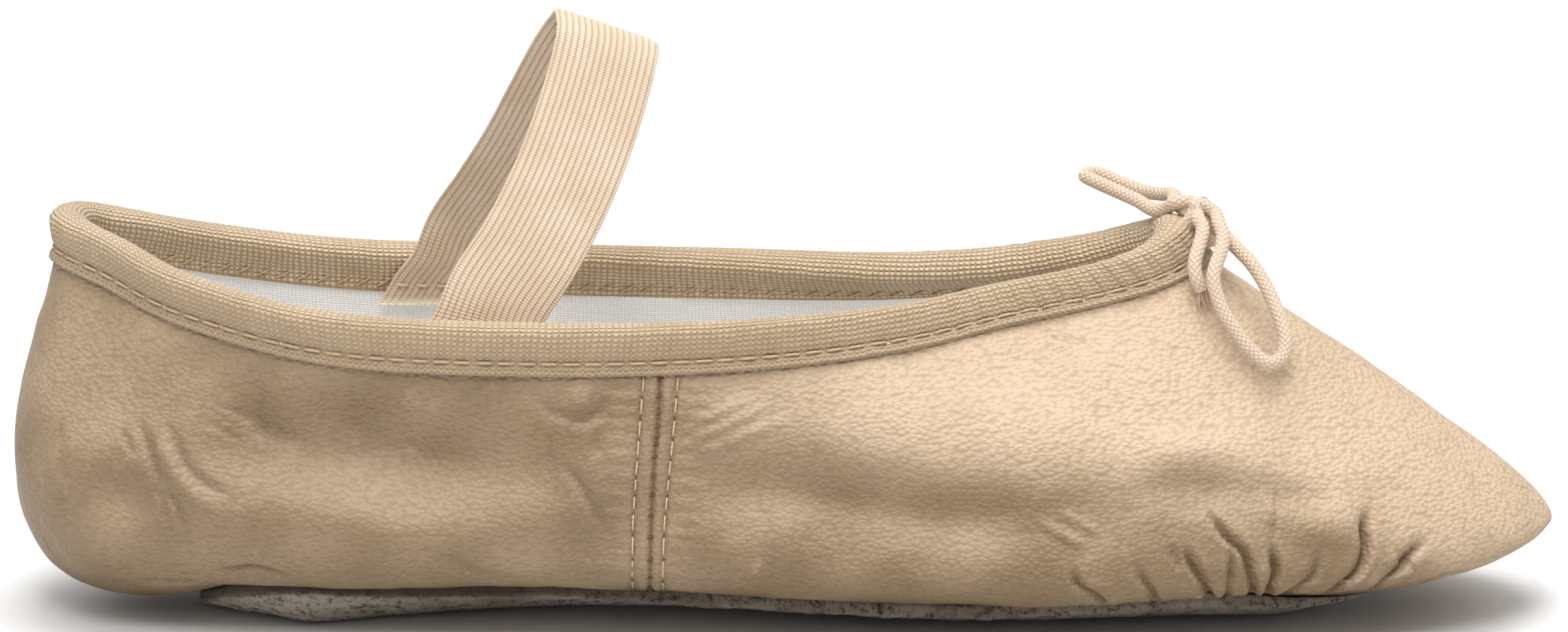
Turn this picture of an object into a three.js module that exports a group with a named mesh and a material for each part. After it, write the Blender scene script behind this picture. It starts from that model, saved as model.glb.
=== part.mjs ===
// A soft ballet slipper in leather: a hollow upper, a suede outsole, an insole, a canvas binding round the
// collar, an elastic strap over the instep and a drawstring tied in a bow at the throat.
// Millimetres. X runs from heel to toe, Y from the near side to the far side, Z up from the floor.
// The origin is on the floor, under the middle of the shoe.

import * as THREE from "three";
import { mergeVertices } from "three/addons/utils/BufferGeometryUtils.js";

// Upper
const SHOE_LENGTH = 240;
const BALL_WIDTH = 76;
const WIDEST_HEIGHT = 25.5; // of the heel's back, where the shoe is longest
const COLLAR_SETBACK = 8.6; // of the leather's upper edge from the end of the heel
const COLLAR_LENGTH = 172.3; // from that edge to the throat
const COLLAR_WIDTH = 56;
const COLLAR_HEIGHT = 62; // of the leather's upper edge at the heel's back
const UPPER_WALL = 1.5; // leather and its cotton lining

// Outsole
const SOLE_SETBACK = 28.3; // of the outsole's rear end from the end of the heel
const SOLE_LENGTH = 183.5;
const SOLE_WIDTH = 46;
const SOLE_THICKNESS = 2.2;
const SPINE_INSET = 20; // of the middle line's ends from the outsole's ends
const ARCH_RISE = 1.5;
const ARCH_CENTRE = -18;
const ARCH_HALF_LENGTH = 52;

// Layers over the outsole
const CLEARANCE = 0.3; // between two pieces that touch
const LASTING_MARGIN = 7; // of the upper, turned in over the outsole
const INSOLE_THICKNESS = 1.4;
const INSOLE_INSET = 3.2; // of the insole's edge from the outsole's

// Binding
const TAPE_WIDTH = 6.5; // down the leather from its upper edge, on each side
const TAPE_THICKNESS = 0.6;
const CASING_DEPTH = 4.6; // of the drawstring's casing, down from the leather's upper edge
const CASING_SWELL = 1.2; // how far the drawstring stands the tape off the leather
const CASING_TOP = 1.7; // of the fold over the leather's upper edge

// Elastic strap
const STRAP_WIDTH = 16;
const STRAP_THICKNESS = 1.1;
const STRAP_FOOT = -45.6; // of the strap's middle along the shoe, where its near leg leaves the collar
const STRAP_RISE = 41; // of the fold over the binding's top
const STRAP_AHEAD = 18; // of the fold in front of the near leg's foot
const STRAP_FAR_FOOT = -0.315; // of STRAP_AHEAD, of the far leg's foot in front of the near leg's
const STRAP_TAIL = 7.5; // of each sewn end below the leather's upper edge
const STRAP_STANDOFF = 0.9; // of the sewn ends from the binding's inside
const STRAP_TAIL_SLANT = 0.58; // along the shoe for each millimetre of height
const STRAP_TAIL_TIP = 0.18; // of the width's fall towards the toe where a sewn end leaves the collar

// Drawstring
const CORD_DIAMETER = 2.2;
const KNOT_LENGTH = 4.2;
const KNOT_WIDTH = 5;
const KNOT_HEIGHT = 3.8;

// Fineness of the faceted surfaces
const ROUND_STEPS = 72; // around the shoe, three to a section
const FLANGE_STEPS = 2;
const LOWER_STEPS = 5;
const WALL_STEPS = 8;
const SOLE_STEPS = 3; // across the curled edge
const STRAP_STEPS = 44;
const CORD_SIDES = 8;
const CORD_STEP = 3.6; // along a cord

// The sections of the near half, from the heel to the toe, in three tables with a row for each.
// The widest line. along: of SHOE_LENGTH from its middle; out: of half BALL_WIDTH; up: of WIDEST_HEIGHT.
const WIDEST = [
  { name: "heel_back", along: -0.5, out: 0, up: 1 },
  { name: "heel_turn", along: -0.4885, out: 0.33, up: 0.97 },
  { name: "heel_round", along: -0.449, out: 0.58, up: 0.88 },
  { name: "heel_side", along: -0.38, out: 0.71, up: 0.76 },
  { name: "quarter", along: -0.282, out: 0.775, up: 0.66 },
  { name: "side_seam", along: -0.16, out: 0.815, up: 0.61 },
  { name: "shank", along: -0.033, out: 0.89, up: 0.59 },
  { name: "ball_rear", along: 0.085, out: 0.98, up: 0.56 },
  { name: "ball_front", along: 0.2, out: 1, up: 0.53 },
  { name: "toe_side", along: 0.308, out: 0.9, up: 0.49 },
  { name: "toe_round", along: 0.4, out: 0.7, up: 0.475 },
  { name: "toe_turn", along: 0.471, out: 0.41, up: 0.52 },
  { name: "toe_tip", along: 0.5, out: 0, up: 0.565 },
];

// The leather's upper edge. along: of COLLAR_LENGTH from the heel; out: of half COLLAR_WIDTH; up: of
// COLLAR_HEIGHT; dip: degrees below level at which the leather leaves the edge; reach: how far it keeps
// that way, and rise: how far it stays upright over the widest line, of the distance between the two.
const COLLAR = [
  { along: 0, out: 0, up: 1, dip: 78, reach: 0.36, rise: 0.33 },
  { along: 0.012, out: 0.21, up: 0.994, dip: 78, reach: 0.36, rise: 0.33 },
  { along: 0.05, out: 0.385, up: 0.96, dip: 78, reach: 0.36, rise: 0.33 },
  { along: 0.12, out: 0.68, up: 0.894, dip: 79, reach: 0.36, rise: 0.33 },
  { along: 0.25, out: 0.935, up: 0.826, dip: 79, reach: 0.36, rise: 0.33 },
  { along: 0.43, out: 1, up: 0.806, dip: 76, reach: 0.36, rise: 0.33 },
  { along: 0.6, out: 0.895, up: 0.803, dip: 66, reach: 0.37, rise: 0.33 },
  { along: 0.735, out: 0.665, up: 0.813, dip: 50, reach: 0.4, rise: 0.34 },
  { along: 0.83, out: 0.45, up: 0.845, dip: 39, reach: 0.4, rise: 0.31 },
  { along: 0.91, out: 0.37, up: 0.885, dip: 36, reach: 0.36, rise: 0.25 },
  { along: 0.96, out: 0.315, up: 0.922, dip: 37, reach: 0.3, rise: 0.17 },
  { along: 0.99, out: 0.185, up: 0.952, dip: 39, reach: 0.26, rise: 0.11 },
  { along: 1, out: 0, up: 0.966, dip: 40, reach: 0.25, rise: 0.09 },
];

// The outsole's edge. along: of SOLE_LENGTH from its rear end; out: of half SOLE_WIDTH; flat: of the way
// out to the edge, where the sole starts to curl up; curl: of SOLE_THICKNESS, how far its edge turns up.
// The leather past it. spread: how far it runs on level, of the way out to the widest line; sag: of
// SOLE_THICKNESS, how far it is drawn down there, or up where it is below zero; drop: how far it hangs
// upright under the widest line, of the way down.
const SOLE = [
  { along: 0, out: 0, flat: 0.5, curl: 0.3, spread: 0.82, sag: 2.7, drop: 0.6 },
  { along: 0.0125, out: 0.38, flat: 0.4, curl: 1.2, spread: 0.8, sag: 2.3, drop: 0.46 },
  { along: 0.042, out: 0.68, flat: 0.38, curl: 2.5, spread: 0.66, sag: 0.9, drop: 0.65 },
  { along: 0.1, out: 0.86, flat: 0.5, curl: 3.1, spread: 0.66, sag: 0.2, drop: 0.45 },
  { along: 0.18, out: 0.75, flat: 0.3, curl: 2.5, spread: 0.45, sag: 0, drop: 0.6 },
  { along: 0.295, out: 0.65, flat: 0.2, curl: 1.85, spread: 0.45, sag: -0.5, drop: 0.62 },
  { along: 0.445, out: 0.74, flat: 0.1, curl: 1.2, spread: 0.45, sag: -0.8, drop: 0.6 },
  { along: 0.59, out: 0.92, flat: 0.1, curl: 1.45, spread: 0.45, sag: -0.85, drop: 0.6 },
  { along: 0.73, out: 1, flat: 0.1, curl: 2, spread: 0.45, sag: -0.85, drop: 0.6 },
  { along: 0.845, out: 0.93, flat: 0.1, curl: 2.5, spread: 0.45, sag: -0.95, drop: 0.6 },
  { along: 0.93, out: 0.72, flat: 0.1, curl: 1.5, spread: 0.35, sag: -0.5, drop: 0.4 },
  { along: 0.985, out: 0.4, flat: 0.1, curl: 0.8, spread: 0.3, sag: -0.2, drop: 0.2 },
  { along: 1, out: 0, flat: 0.2, curl: 0.4, spread: 0.33, sag: 0, drop: 0.2 },
];

// The strap's legs, from the near side to the far side. up: of STRAP_RISE over the binding's top; out: of
// the way from the middle plane to the strap's sewn end; ahead: of STRAP_AHEAD from the near leg's foot;
// lean: degrees that the strap's width tips down towards the toe.
const STRAP = [
  { up: 0.08, out: -0.93, ahead: 0.12, lean: 30 },
  { up: 0.25, out: -0.795, ahead: 0.385, lean: 29 },
  { up: 0.45, out: -0.61, ahead: 0.635, lean: 26 },
  { up: 0.65, out: -0.43, ahead: 0.825, lean: 22 },
  { up: 0.84, out: -0.255, ahead: 0.965, lean: 20 },
  { up: 0.96, out: -0.125, ahead: 1.025, lean: 19 },
  { up: 1, out: 0.01, ahead: 1.005, lean: 19 },
  { up: 0.955, out: 0.14, ahead: 0.935, lean: 19 },
  { up: 0.84, out: 0.255, ahead: 0.775, lean: 22 },
  { up: 0.65, out: 0.43, ahead: 0.555, lean: 27 },
  { up: 0.45, out: 0.61, ahead: 0.325, lean: 30 },
  { up: 0.25, out: 0.795, ahead: 0.055, lean: 31 },
  { up: 0.08, out: 0.93, ahead: -0.195, lean: 32 },
];

// The bow's cords, as millimetres from the knot's middle: ahead, to the far side and up.
const NEAR_LOOP = [
  [2.8, -1.6, -0.2],
  [3.3, -4.4, -1.2],
  [3.8, -7.5, -2.8],
  [3.3, -10, -4.6],
  [2.4, -12.3, -6.3],
  [2, -13.6, -7.8],
  [2.4, -14.6, -10],
  [3.5, -15.8, -12.7],
  [5.2, -16.8, -15.2],
  [7.6, -17.8, -18.2],
  [10.3, -18.2, -20.1],
  [12.3, -17.4, -19.4],
  [13, -16, -17.2],
  [12.5, -14.4, -14.9],
  [11.3, -12, -11.8],
  [9.9, -9.6, -9.2],
  [8.2, -7.4, -6.9],
  [5.9, -4.6, -4.9],
  [3.8, -2, -3.1],
];
const FAR_LOOP = [
  [-2.9, 0.4, 1],
  [-4, 1.6, 0.1],
  [-5.8, 3.2, -0.9],
  [-8.8, 7, 0],
  [-12.2, 11, 0.8],
  [-15.3, 13.4, 1.8],
  [-16.4, 14.8, 2.2],
  [-15, 15.9, 2.4],
  [-10.7, 14.8, 1],
  [-7.3, 12, 0.3],
  [-4.7, 9, 0.5],
  [-3.1, 6.3, 1],
  [-2.9, 3.1, 0.4],
];
const NEAR_END = [
  [0.2, -3.4, -0.7],
  [0.8, -5.6, -1.9],
  [0.1, -8.6, -3.9],
  [-0.7, -11, -6.1],
  [-0.5, -12.2, -8.2],
  [0.4, -12.2, -10],
];
const FAR_END = [
  [0.8, 3.2, 0],
  [2, 7.6, -2],
  [3, 10.4, -4.8],
  [3.2, 12.4, -8],
];

const HEEL_X = -SHOE_LENGTH / 2;
const FLANGE_HEIGHT = SOLE_THICKNESS + CLEARANCE; // of the upper's outer face over the outsole's underside
const INSOLE_HEIGHT = FLANGE_HEIGHT + UPPER_WALL + CLEARANCE; // of the insole's underside over the same
const TAPE_OFFSET = CLEARANCE + TAPE_THICKNESS; // of the tape's outer face from the leather
const STEP = 1e-3; // of a share, to measure a slope

const turn = (u) => ((u % 1) + 1) % 1;
const at = (curve, u) => curve.getPoint(turn(u));
const level = (v) => new THREE.Vector3(v.x, v.y, 0);
const shares = (count) => Array.from({ length: count + 1 }, (_, i) => i / count);
const AROUND = shares(ROUND_STEPS).slice(0, -1);

// A closed curve through the near half's points and then the far half's. side is -1 where y changes its
// sign from one half to the other, and 1 where the three numbers are alike on both.
function roundCurve(half, side) {
  const far = half.slice(1, -1).reverse();
  const other = far.map((p) => new THREE.Vector3(p.x, p.y * side, p.z));
  return new THREE.CatmullRomCurve3([...half, ...other], true, "catmullrom", 0.5);
}

function edgeCurve(rows, start, length, width, height) {
  const point = (r) => new THREE.Vector3(start + r.along * length, (-r.out * width) / 2, r.up * height);
  return roundCurve(rows.map(point), -1);
}

const widestLine = edgeCurve(WIDEST, 0, SHOE_LENGTH, BALL_WIDTH, WIDEST_HEIGHT);
const collarLine = edgeCurve(
  COLLAR,
  HEEL_X + COLLAR_SETBACK,
  COLLAR_LENGTH,
  COLLAR_WIDTH,
  COLLAR_HEIGHT,
);
const soleLine = edgeCurve(
  SOLE.map((r) => ({ ...r, up: r.curl })),
  HEEL_X + SOLE_SETBACK,
  SOLE_LENGTH,
  SOLE_WIDTH,
  SOLE_THICKNESS,
);
const wallLook = roundCurve(COLLAR.map((r) => new THREE.Vector3(r.dip, r.reach, r.rise)), 1);
const lowerLook = roundCurve(SOLE.map((r) => new THREE.Vector3(r.spread, r.sag, r.drop)), 1);
const soleLook = roundCurve(SOLE.map((r) => new THREE.Vector3(r.flat, 0, 0)), 1);

// The height of the outsole's underside over the floor along the middle line.
function archHeight(x) {
  const share = Math.min(1, Math.abs(x - ARCH_CENTRE) / ARCH_HALF_LENGTH);
  return ARCH_RISE * (1 - share ** 2) ** 2;
}

// The outsole's underside at u around the shoe and s from the middle line (0) to the edge (1).
function underside(u, s) {
  const edge = at(soleLine, u);
  const rear = HEEL_X + SOLE_SETBACK + SPINE_INSET;
  const front = HEEL_X + SOLE_SETBACK + SOLE_LENGTH - SPINE_INSET;
  const spine = THREE.MathUtils.clamp(edge.x, rear, front);
  const x = THREE.MathUtils.lerp(spine, edge.x, s);
  const flat = at(soleLook, u).x;
  const curl = Math.max(0, (s - flat) / (1 - flat)) ** 2;
  return new THREE.Vector3(x, edge.y * s, archHeight(x) + edge.z * curl);
}

// The unit normal of a surface given as a function of u and t, pointing out of the shoe.
function normalOf(surface, u, t) {
  const [low, high] = t < 0.5 ? [t, t + STEP] : [t - STEP, t];
  const across = surface(u, high).sub(surface(u, low));
  const along = surface(u + STEP, t).sub(surface(u - STEP, t));
  return along.cross(across).normalize();
}

// The surface that lies over the outsole's underside at a height measured square to it.
function layer(height) {
  return (u, s) => {
    const normal = normalOf(underside, u, Math.max(s, 0.05)); // it has no meaning on the middle line
    return underside(u, s).addScaledVector(normal, -height);
  };
}

// The share of the way out to the outsole's edge that lies at an inset from the edge.
function insetShare(u, inset) {
  return 1 - inset / level(underside(u, 1)).distanceTo(level(underside(u, 0)));
}

// A point of the cubic curve with four control points.
function cubic(a, b, c, d, t) {
  const r = 1 - t;
  return new THREE.Vector3()
    .addScaledVector(a, r ** 3)
    .addScaledVector(b, 3 * r * r * t)
    .addScaledVector(c, 3 * r * t * t)
    .addScaledVector(d, t ** 3);
}

// The upper's outer face has three stretches: the flange on the outsole, the lower wall out to the widest
// line, and the wall or vamp from there to the collar.
const flangeLayer = layer(FLANGE_HEIGHT);

function flange(u, t) {
  return flangeLayer(u, THREE.MathUtils.lerp(insetShare(u, LASTING_MARGIN), 1, t));
}

function lowerWall(u, t) {
  const start = flangeLayer(u, 1);
  const end = at(widestLine, u);
  const { x: spread, y: sag, z: drop } = at(lowerLook, u);
  const first = start.clone().lerp(end, spread).setZ(start.z - sag * SOLE_THICKNESS);
  const second = end.clone().setZ(end.z - drop * (end.z - start.z));
  return cubic(start, first, second, end, t);
}

function wall(u, t) {
  const start = at(widestLine, u);
  const end = at(collarLine, u);
  const { x: dip, y: reach, z: rise } = at(wallLook, u);
  const distance = end.distanceTo(start);
  const fall = THREE.MathUtils.degToRad(dip);
  const way = level(start).sub(level(end)).setLength(Math.cos(fall)).setZ(-Math.sin(fall));
  const first = start.clone().setZ(start.z + rise * distance);
  const second = end.clone().addScaledVector(way, reach * distance);
  return cubic(start, first, second, end, t);
}

// A point at a depth under the outer face of one of these stretches.
function under(stretch, u, t, depth) {
  return stretch(u, t).addScaledVector(normalOf(stretch, u, t), -depth);
}

// The wall's share t at a distance down from the leather's upper edge.
function wallShare(u, distance) {
  const edge = wall(u, 1);
  let [low, high] = [0, 1];
  while (high - low > STEP / 10) {
    const middle = (low + high) / 2;
    if (wall(u, middle).distanceTo(edge) > distance) low = middle;
    else high = middle;
  }
  return high;
}

// An indexed geometry from loose triangles: points that coincide are joined, and triangles that have
// shrunk to a line are left out.
function joined(positions) {
  const loose = new THREE.BufferGeometry();
  loose.setAttribute("position", new THREE.Float32BufferAttribute(positions, 3));
  const merged = mergeVertices(loose, 1e-3);
  const corners = merged.index.array;
  const index = [];
  for (let i = 0; i < corners.length; i += 3) {
    const [a, b, c] = corners.slice(i, i + 3);
    if (a !== b && b !== c && c !== a) index.push(a, b, c);
  }
  merged.setIndex(index);
  merged.computeVertexNormals();
  return merged;
}

function pushQuad(positions, a, b, c, d) {
  for (const p of [a, b, c, a, c, d]) positions.push(p.x, p.y, p.z);
}

// The surface around the shoe through a profile at each step: a ring where closed, else an open line
// whose two ends lie on the middle line, where the two halves meet.
function roundMesh(profile, isRing) {
  const rings = AROUND.map(profile);
  const positions = [];
  for (const [i, here] of rings.entries()) {
    const next = rings[(i + 1) % rings.length];
    const last = isRing ? here.length : here.length - 1;
    for (let j = 0; j < last; j++) {
      const k = (j + 1) % here.length;
      pushQuad(positions, here[j], next[j], next[k], here[k]);
    }
  }
  return joined(positions);
}

function upperGeometry() {
  const profile = [
    ...shares(FLANGE_STEPS).slice(0, -1).map((t) => [flange, t]),
    ...shares(LOWER_STEPS).slice(0, -1).map((t) => [lowerWall, t]),
    ...shares(WALL_STEPS).map((t) => [wall, t]),
  ];
  const inside = profile.toReversed();
  return roundMesh(
    (u) => [
      ...profile.map(([stretch, t]) => under(stretch, u, t, 0)),
      ...inside.map(([stretch, t]) => under(stretch, u, t, UPPER_WALL)),
    ],
    true,
  );
}

function outsoleGeometry() {
  const upperFace = layer(SOLE_THICKNESS);
  return roundMesh((u) => {
    const flat = at(soleLook, u).x;
    const ways = [0, flat / 2, ...shares(SOLE_STEPS).map((share) => THREE.MathUtils.lerp(flat, 1, share))];
    return [...ways.map((s) => underside(u, s)), ...ways.toReversed().map((s) => upperFace(u, s))];
  }, false);
}

// The insole lies on the turned-in margin, and a thicker middle fills the opening inside it.
function insoleGeometry() {
  const onSole = layer(FLANGE_HEIGHT);
  const onMargin = layer(INSOLE_HEIGHT);
  const face = layer(INSOLE_HEIGHT + INSOLE_THICKNESS);
  return roundMesh((u) => {
    const step = insetShare(u, LASTING_MARGIN + CLEARANCE);
    const edge = insetShare(u, INSOLE_INSET);
    const middle = (step + edge) / 2;
    return [
      ...[0, step / 2, step].map((s) => onSole(u, s)),
      ...[step, middle, edge].map((s) => onMargin(u, s)),
      ...[edge, middle, step, step / 2, 0].map((s) => face(u, s)),
    ];
  }, false);
}

// How far the drawstring stands the tape off the leather at a distance down from the leather's edge.
function swell(distance) {
  const share = Math.min(1, distance / CASING_DEPTH);
  return CASING_SWELL * (1 - share ** 2) ** 2;
}

function bindingGeometry() {
  const down = [1, 0.66, 0.42, 0.2, 0].map((share) => share * TAPE_WIDTH);
  const over = [45, 90, 135].map(THREE.MathUtils.degToRad);
  const snug = shares(3).map((share) => share * TAPE_WIDTH);
  return roundMesh((u) => {
    const edge = wall(u, 1);
    const normal = normalOf(wall, u, 1);
    const upward = edge.clone().sub(wall(u, 1 - STEP)).normalize();
    const middle = edge.clone().addScaledVector(normal, -UPPER_WALL / 2);
    const half = UPPER_WALL / 2 + TAPE_OFFSET + CASING_SWELL;
    const fold = over.map((angle) =>
      middle
        .clone()
        .addScaledVector(normal, half * Math.cos(angle))
        .addScaledVector(upward, CASING_TOP * Math.sin(angle)),
    );
    const lift = ([depth, height]) =>
      edge.clone().addScaledVector(normal, -depth).addScaledVector(upward, height);
    const leg = (d, depth) => under(wall, u, wallShare(u, d), depth);
    return [
      ...down.map((d) => leg(d, -TAPE_OFFSET - swell(d))),
      ...fold,
      ...down.toReversed().map((d) => leg(d, UPPER_WALL + TAPE_OFFSET + swell(d))),
      ...snug.toReversed().slice(0, -1).map((d) => leg(d, UPPER_WALL + CLEARANCE)),
      ...[[UPPER_WALL + CLEARANCE, CLEARANCE], [-CLEARANCE, CLEARANCE]].map(lift),
      ...snug.slice(1).map((d) => leg(d, -CLEARANCE)),
    ];
  }, true);
}

// The place around the near half where the collar passes a point along the shoe.
function collarShareAt(x) {
  let [low, high] = [0, 0.5];
  while (high - low > STEP / 10) {
    const middle = (low + high) / 2;
    if (at(collarLine, middle).x < x) low = middle;
    else high = middle;
  }
  return low;
}

// The middle of a sewn end of the strap, inside the binding, at a distance down from the leather's edge,
// and the direction of its width there, which follows the collar towards the toe.
function strapTail(side, foot, distance) {
  const x = foot - STRAP_TAIL_SLANT * distance;
  const nearShare = collarShareAt(x);
  const u = side < 0 ? nearShare : 1 - nearShare;
  const depth = UPPER_WALL + TAPE_OFFSET + swell(distance) + STRAP_STANDOFF + STRAP_THICKNESS / 2;
  const reach = STRAP_WIDTH / 2 / SHOE_LENGTH / 2;
  const ends = [u - reach, u + reach].map((v) => wall(v, wallShare(v, distance)));
  const tip = STRAP_TAIL_TIP * (1 - distance / STRAP_TAIL) ** 2;
  return {
    point: under(wall, u, wallShare(u, distance), depth),
    width: level(ends[1]).sub(level(ends[0])).setLength(-side).setZ(-tip),
  };
}

function strapGeometry() {
  const tail = (side, x) => [1, 0.5, 0].map((share) => strapTail(side, x, share * STRAP_TAIL));
  const near = tail(-1, STRAP_FOOT);
  const far = tail(1, STRAP_FOOT + STRAP_FAR_FOOT * STRAP_AHEAD).toReversed();
  const foot = near[2].point;
  const legs = STRAP.map((r) => {
    const lean = THREE.MathUtils.degToRad(r.lean);
    const x = foot.x + r.ahead * STRAP_AHEAD;
    const z = foot.z + CASING_TOP + r.up * STRAP_RISE;
    return {
      point: new THREE.Vector3(x, -r.out * foot.y, z),
      width: new THREE.Vector3(Math.cos(lean), 0, -Math.sin(lean)),
    };
  });
  const rows = [...near, ...legs, ...far];
  const path = new THREE.CatmullRomCurve3(rows.map((r) => r.point), false, "centripetal");
  const widths = new THREE.CatmullRomCurve3(rows.map((r) => r.width), false, "catmullrom", 0.5);
  const rings = shares(STRAP_STEPS).map((share) => {
    const width = widths.getPoint(share).normalize();
    const face = path.getTangent(share).cross(width);
    const broad = STRAP_WIDTH / 2 / face.length();
    face.setLength(STRAP_THICKNESS / 2);
    const corner = (across, out) =>
      path.getPoint(share).addScaledVector(width, across * broad).addScaledVector(face, out);
    return [corner(-1, 1), corner(0, 1), corner(1, 1), corner(1, -1), corner(0, -1), corner(-1, -1)];
  });
  const positions = [];
  for (let i = 1; i < rings.length; i++) {
    for (let j = 0; j < 6; j++) {
      const k = (j + 1) % 6;
      pushQuad(positions, rings[i - 1][j], rings[i][j], rings[i][k], rings[i - 1][k]);
    }
  }
  for (const ring of [rings[0], rings.at(-1).toReversed()]) {
    pushQuad(positions, ring[0], ring[1], ring[4], ring[5]);
    pushQuad(positions, ring[1], ring[2], ring[3], ring[4]);
  }
  return joined(positions);
}

// The knot sits on the front of the binding at the throat.
function knotMiddle() {
  const stand = TAPE_OFFSET + CASING_SWELL + CLEARANCE + KNOT_HEIGHT / 2;
  return under(wall, 0.5, 1, -stand);
}

function knotGeometry() {
  const ball = new THREE.SphereGeometry(0.5, 12, 8).scale(KNOT_LENGTH, KNOT_WIDTH, KNOT_HEIGHT);
  return joined(ball.translate(...knotMiddle()).toNonIndexed().attributes.position.array);
}

function cordGeometry(route) {
  const knot = knotMiddle();
  const points = route.map((p) => new THREE.Vector3(...p).add(knot));
  const path = new THREE.CatmullRomCurve3(points, false, "centripetal");
  const radius = CORD_DIAMETER / 2;
  const corners = shares(CORD_SIDES).slice(0, -1).map((share) => {
    const angle = share * 2 * Math.PI;
    return new THREE.Vector2(radius * Math.cos(angle), radius * Math.sin(angle));
  });
  const tube = new THREE.ExtrudeGeometry(new THREE.Shape(corners), {
    steps: Math.ceil(path.getLength() / CORD_STEP),
    bevelEnabled: false,
    extrudePath: path,
  });
  return joined(tube.attributes.position.array);
}

const shoe = new THREE.Group();

function add(name, geometry, color, roughness) {
  const material = new THREE.MeshStandardMaterial({ color, roughness, metalness: 0 });
  const mesh = new THREE.Mesh(geometry, material);
  mesh.name = name;
  shoe.add(mesh);
}

const LEATHER = 0xd8b28c;
const SUEDE = 0x9a8872;
const FELT = 0xe6ddd0;
const CANVAS = 0xd9b590;
const ELASTIC = 0xe8c7a4;
const CORD = 0xe9cfb9;

add("upper", upperGeometry(), LEATHER, 0.55);
add("outsole", outsoleGeometry(), SUEDE, 0.95);
add("insole", insoleGeometry(), FELT, 0.9);
add("binding", bindingGeometry(), CANVAS, 0.9);
add("elastic_strap", strapGeometry(), ELASTIC, 0.8);
add("bow_knot", knotGeometry(), CORD, 0.85);
add("bow_near_loop", cordGeometry(NEAR_LOOP), CORD, 0.85);
add("bow_far_loop", cordGeometry(FAR_LOOP), CORD, 0.85);
add("bow_near_end", cordGeometry(NEAR_END), CORD, 0.85);
add("bow_far_end", cordGeometry(FAR_END), CORD, 0.85);

export default shoe;
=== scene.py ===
"""A soft leather ballet slipper with a full suede sole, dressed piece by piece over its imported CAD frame."""

import math

import bpy
import numpy as np
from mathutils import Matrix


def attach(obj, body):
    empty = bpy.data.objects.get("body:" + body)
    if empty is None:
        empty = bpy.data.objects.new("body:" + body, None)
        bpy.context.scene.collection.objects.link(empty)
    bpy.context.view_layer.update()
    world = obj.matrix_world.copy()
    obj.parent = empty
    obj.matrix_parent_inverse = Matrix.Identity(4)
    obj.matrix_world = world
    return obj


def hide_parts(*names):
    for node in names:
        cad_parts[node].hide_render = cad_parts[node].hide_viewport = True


bl_info = {
    "name": "Ballet Slipper",
    "version": (1, 0, 0),
    "blender": (4, 5, 0),
    "location": "View3D > Sidebar > Slipper",
    "description": "Builds a soft leather ballet slipper with a drawstring and an elastic strap",
    "category": "Add Mesh",
}

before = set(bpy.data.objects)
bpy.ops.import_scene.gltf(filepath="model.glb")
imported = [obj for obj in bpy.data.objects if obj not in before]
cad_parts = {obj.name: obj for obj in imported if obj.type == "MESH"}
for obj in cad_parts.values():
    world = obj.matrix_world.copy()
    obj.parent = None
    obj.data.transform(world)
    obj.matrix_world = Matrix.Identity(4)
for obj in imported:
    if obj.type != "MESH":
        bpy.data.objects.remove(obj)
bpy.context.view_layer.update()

MM = 0.001

# The pattern's sizes as the CAD source has them, in millimetres. STRAP_FAR_FOOT is a share of STRAP_AHEAD,
# and STRAP_TAIL_SLANT and STRAP_TAIL_TIP are slopes.
SHOE_LENGTH = 240
BALL_WIDTH = 76
WIDEST_HEIGHT = 25.5
COLLAR_SETBACK = 8.6
COLLAR_LENGTH = 172.3
COLLAR_WIDTH = 56
COLLAR_HEIGHT = 62
UPPER_WALL = 1.5
SOLE_SETBACK = 28.3
SOLE_LENGTH = 183.5
SOLE_WIDTH = 46
SOLE_THICKNESS = 2.2
SPINE_INSET = 20
ARCH_RISE = 1.5
ARCH_CENTRE = -18
ARCH_HALF_LENGTH = 52
CLEARANCE = 0.3
LASTING_MARGIN = 7
INSOLE_THICKNESS = 1.4
INSOLE_INSET = 3.2
TAPE_WIDTH = 6.5
TAPE_THICKNESS = 0.6
CASING_DEPTH = 4.6
CASING_SWELL = 1.2
CASING_TOP = 1.7
STRAP_WIDTH = 16
STRAP_THICKNESS = 1.1
STRAP_FOOT = -45.6
STRAP_RISE = 41
STRAP_AHEAD = 18
STRAP_FAR_FOOT = -0.315
STRAP_TAIL = 7.5
STRAP_STANDOFF = 0.9
STRAP_TAIL_SLANT = 0.58
STRAP_TAIL_TIP = 0.18
CORD_DIAMETER = 2.2
KNOT_HEIGHT = 3.8

HEEL_X = -SHOE_LENGTH / 2
FLANGE_HEIGHT = SOLE_THICKNESS + CLEARANCE
INSOLE_HEIGHT = FLANGE_HEIGHT + UPPER_WALL + CLEARANCE
TAPE_OFFSET = CLEARANCE + TAPE_THICKNESS
STEP = 1e-3  # of u and t, over which normals are taken

# The near half's sections from the heel to the toe, as the CAD source has them.
# The widest line: along, out and up, as shares of SHOE_LENGTH, half BALL_WIDTH and WIDEST_HEIGHT.
WIDEST = [
    (-0.5, 0, 1), (-0.4885, 0.33, 0.97), (-0.449, 0.58, 0.88), (-0.38, 0.71, 0.76),
    (-0.282, 0.775, 0.66), (-0.16, 0.815, 0.61), (-0.033, 0.89, 0.59), (0.085, 0.98, 0.56),
    (0.2, 1, 0.53), (0.308, 0.9, 0.49), (0.4, 0.7, 0.475), (0.471, 0.41, 0.52), (0.5, 0, 0.565),
]
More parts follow.
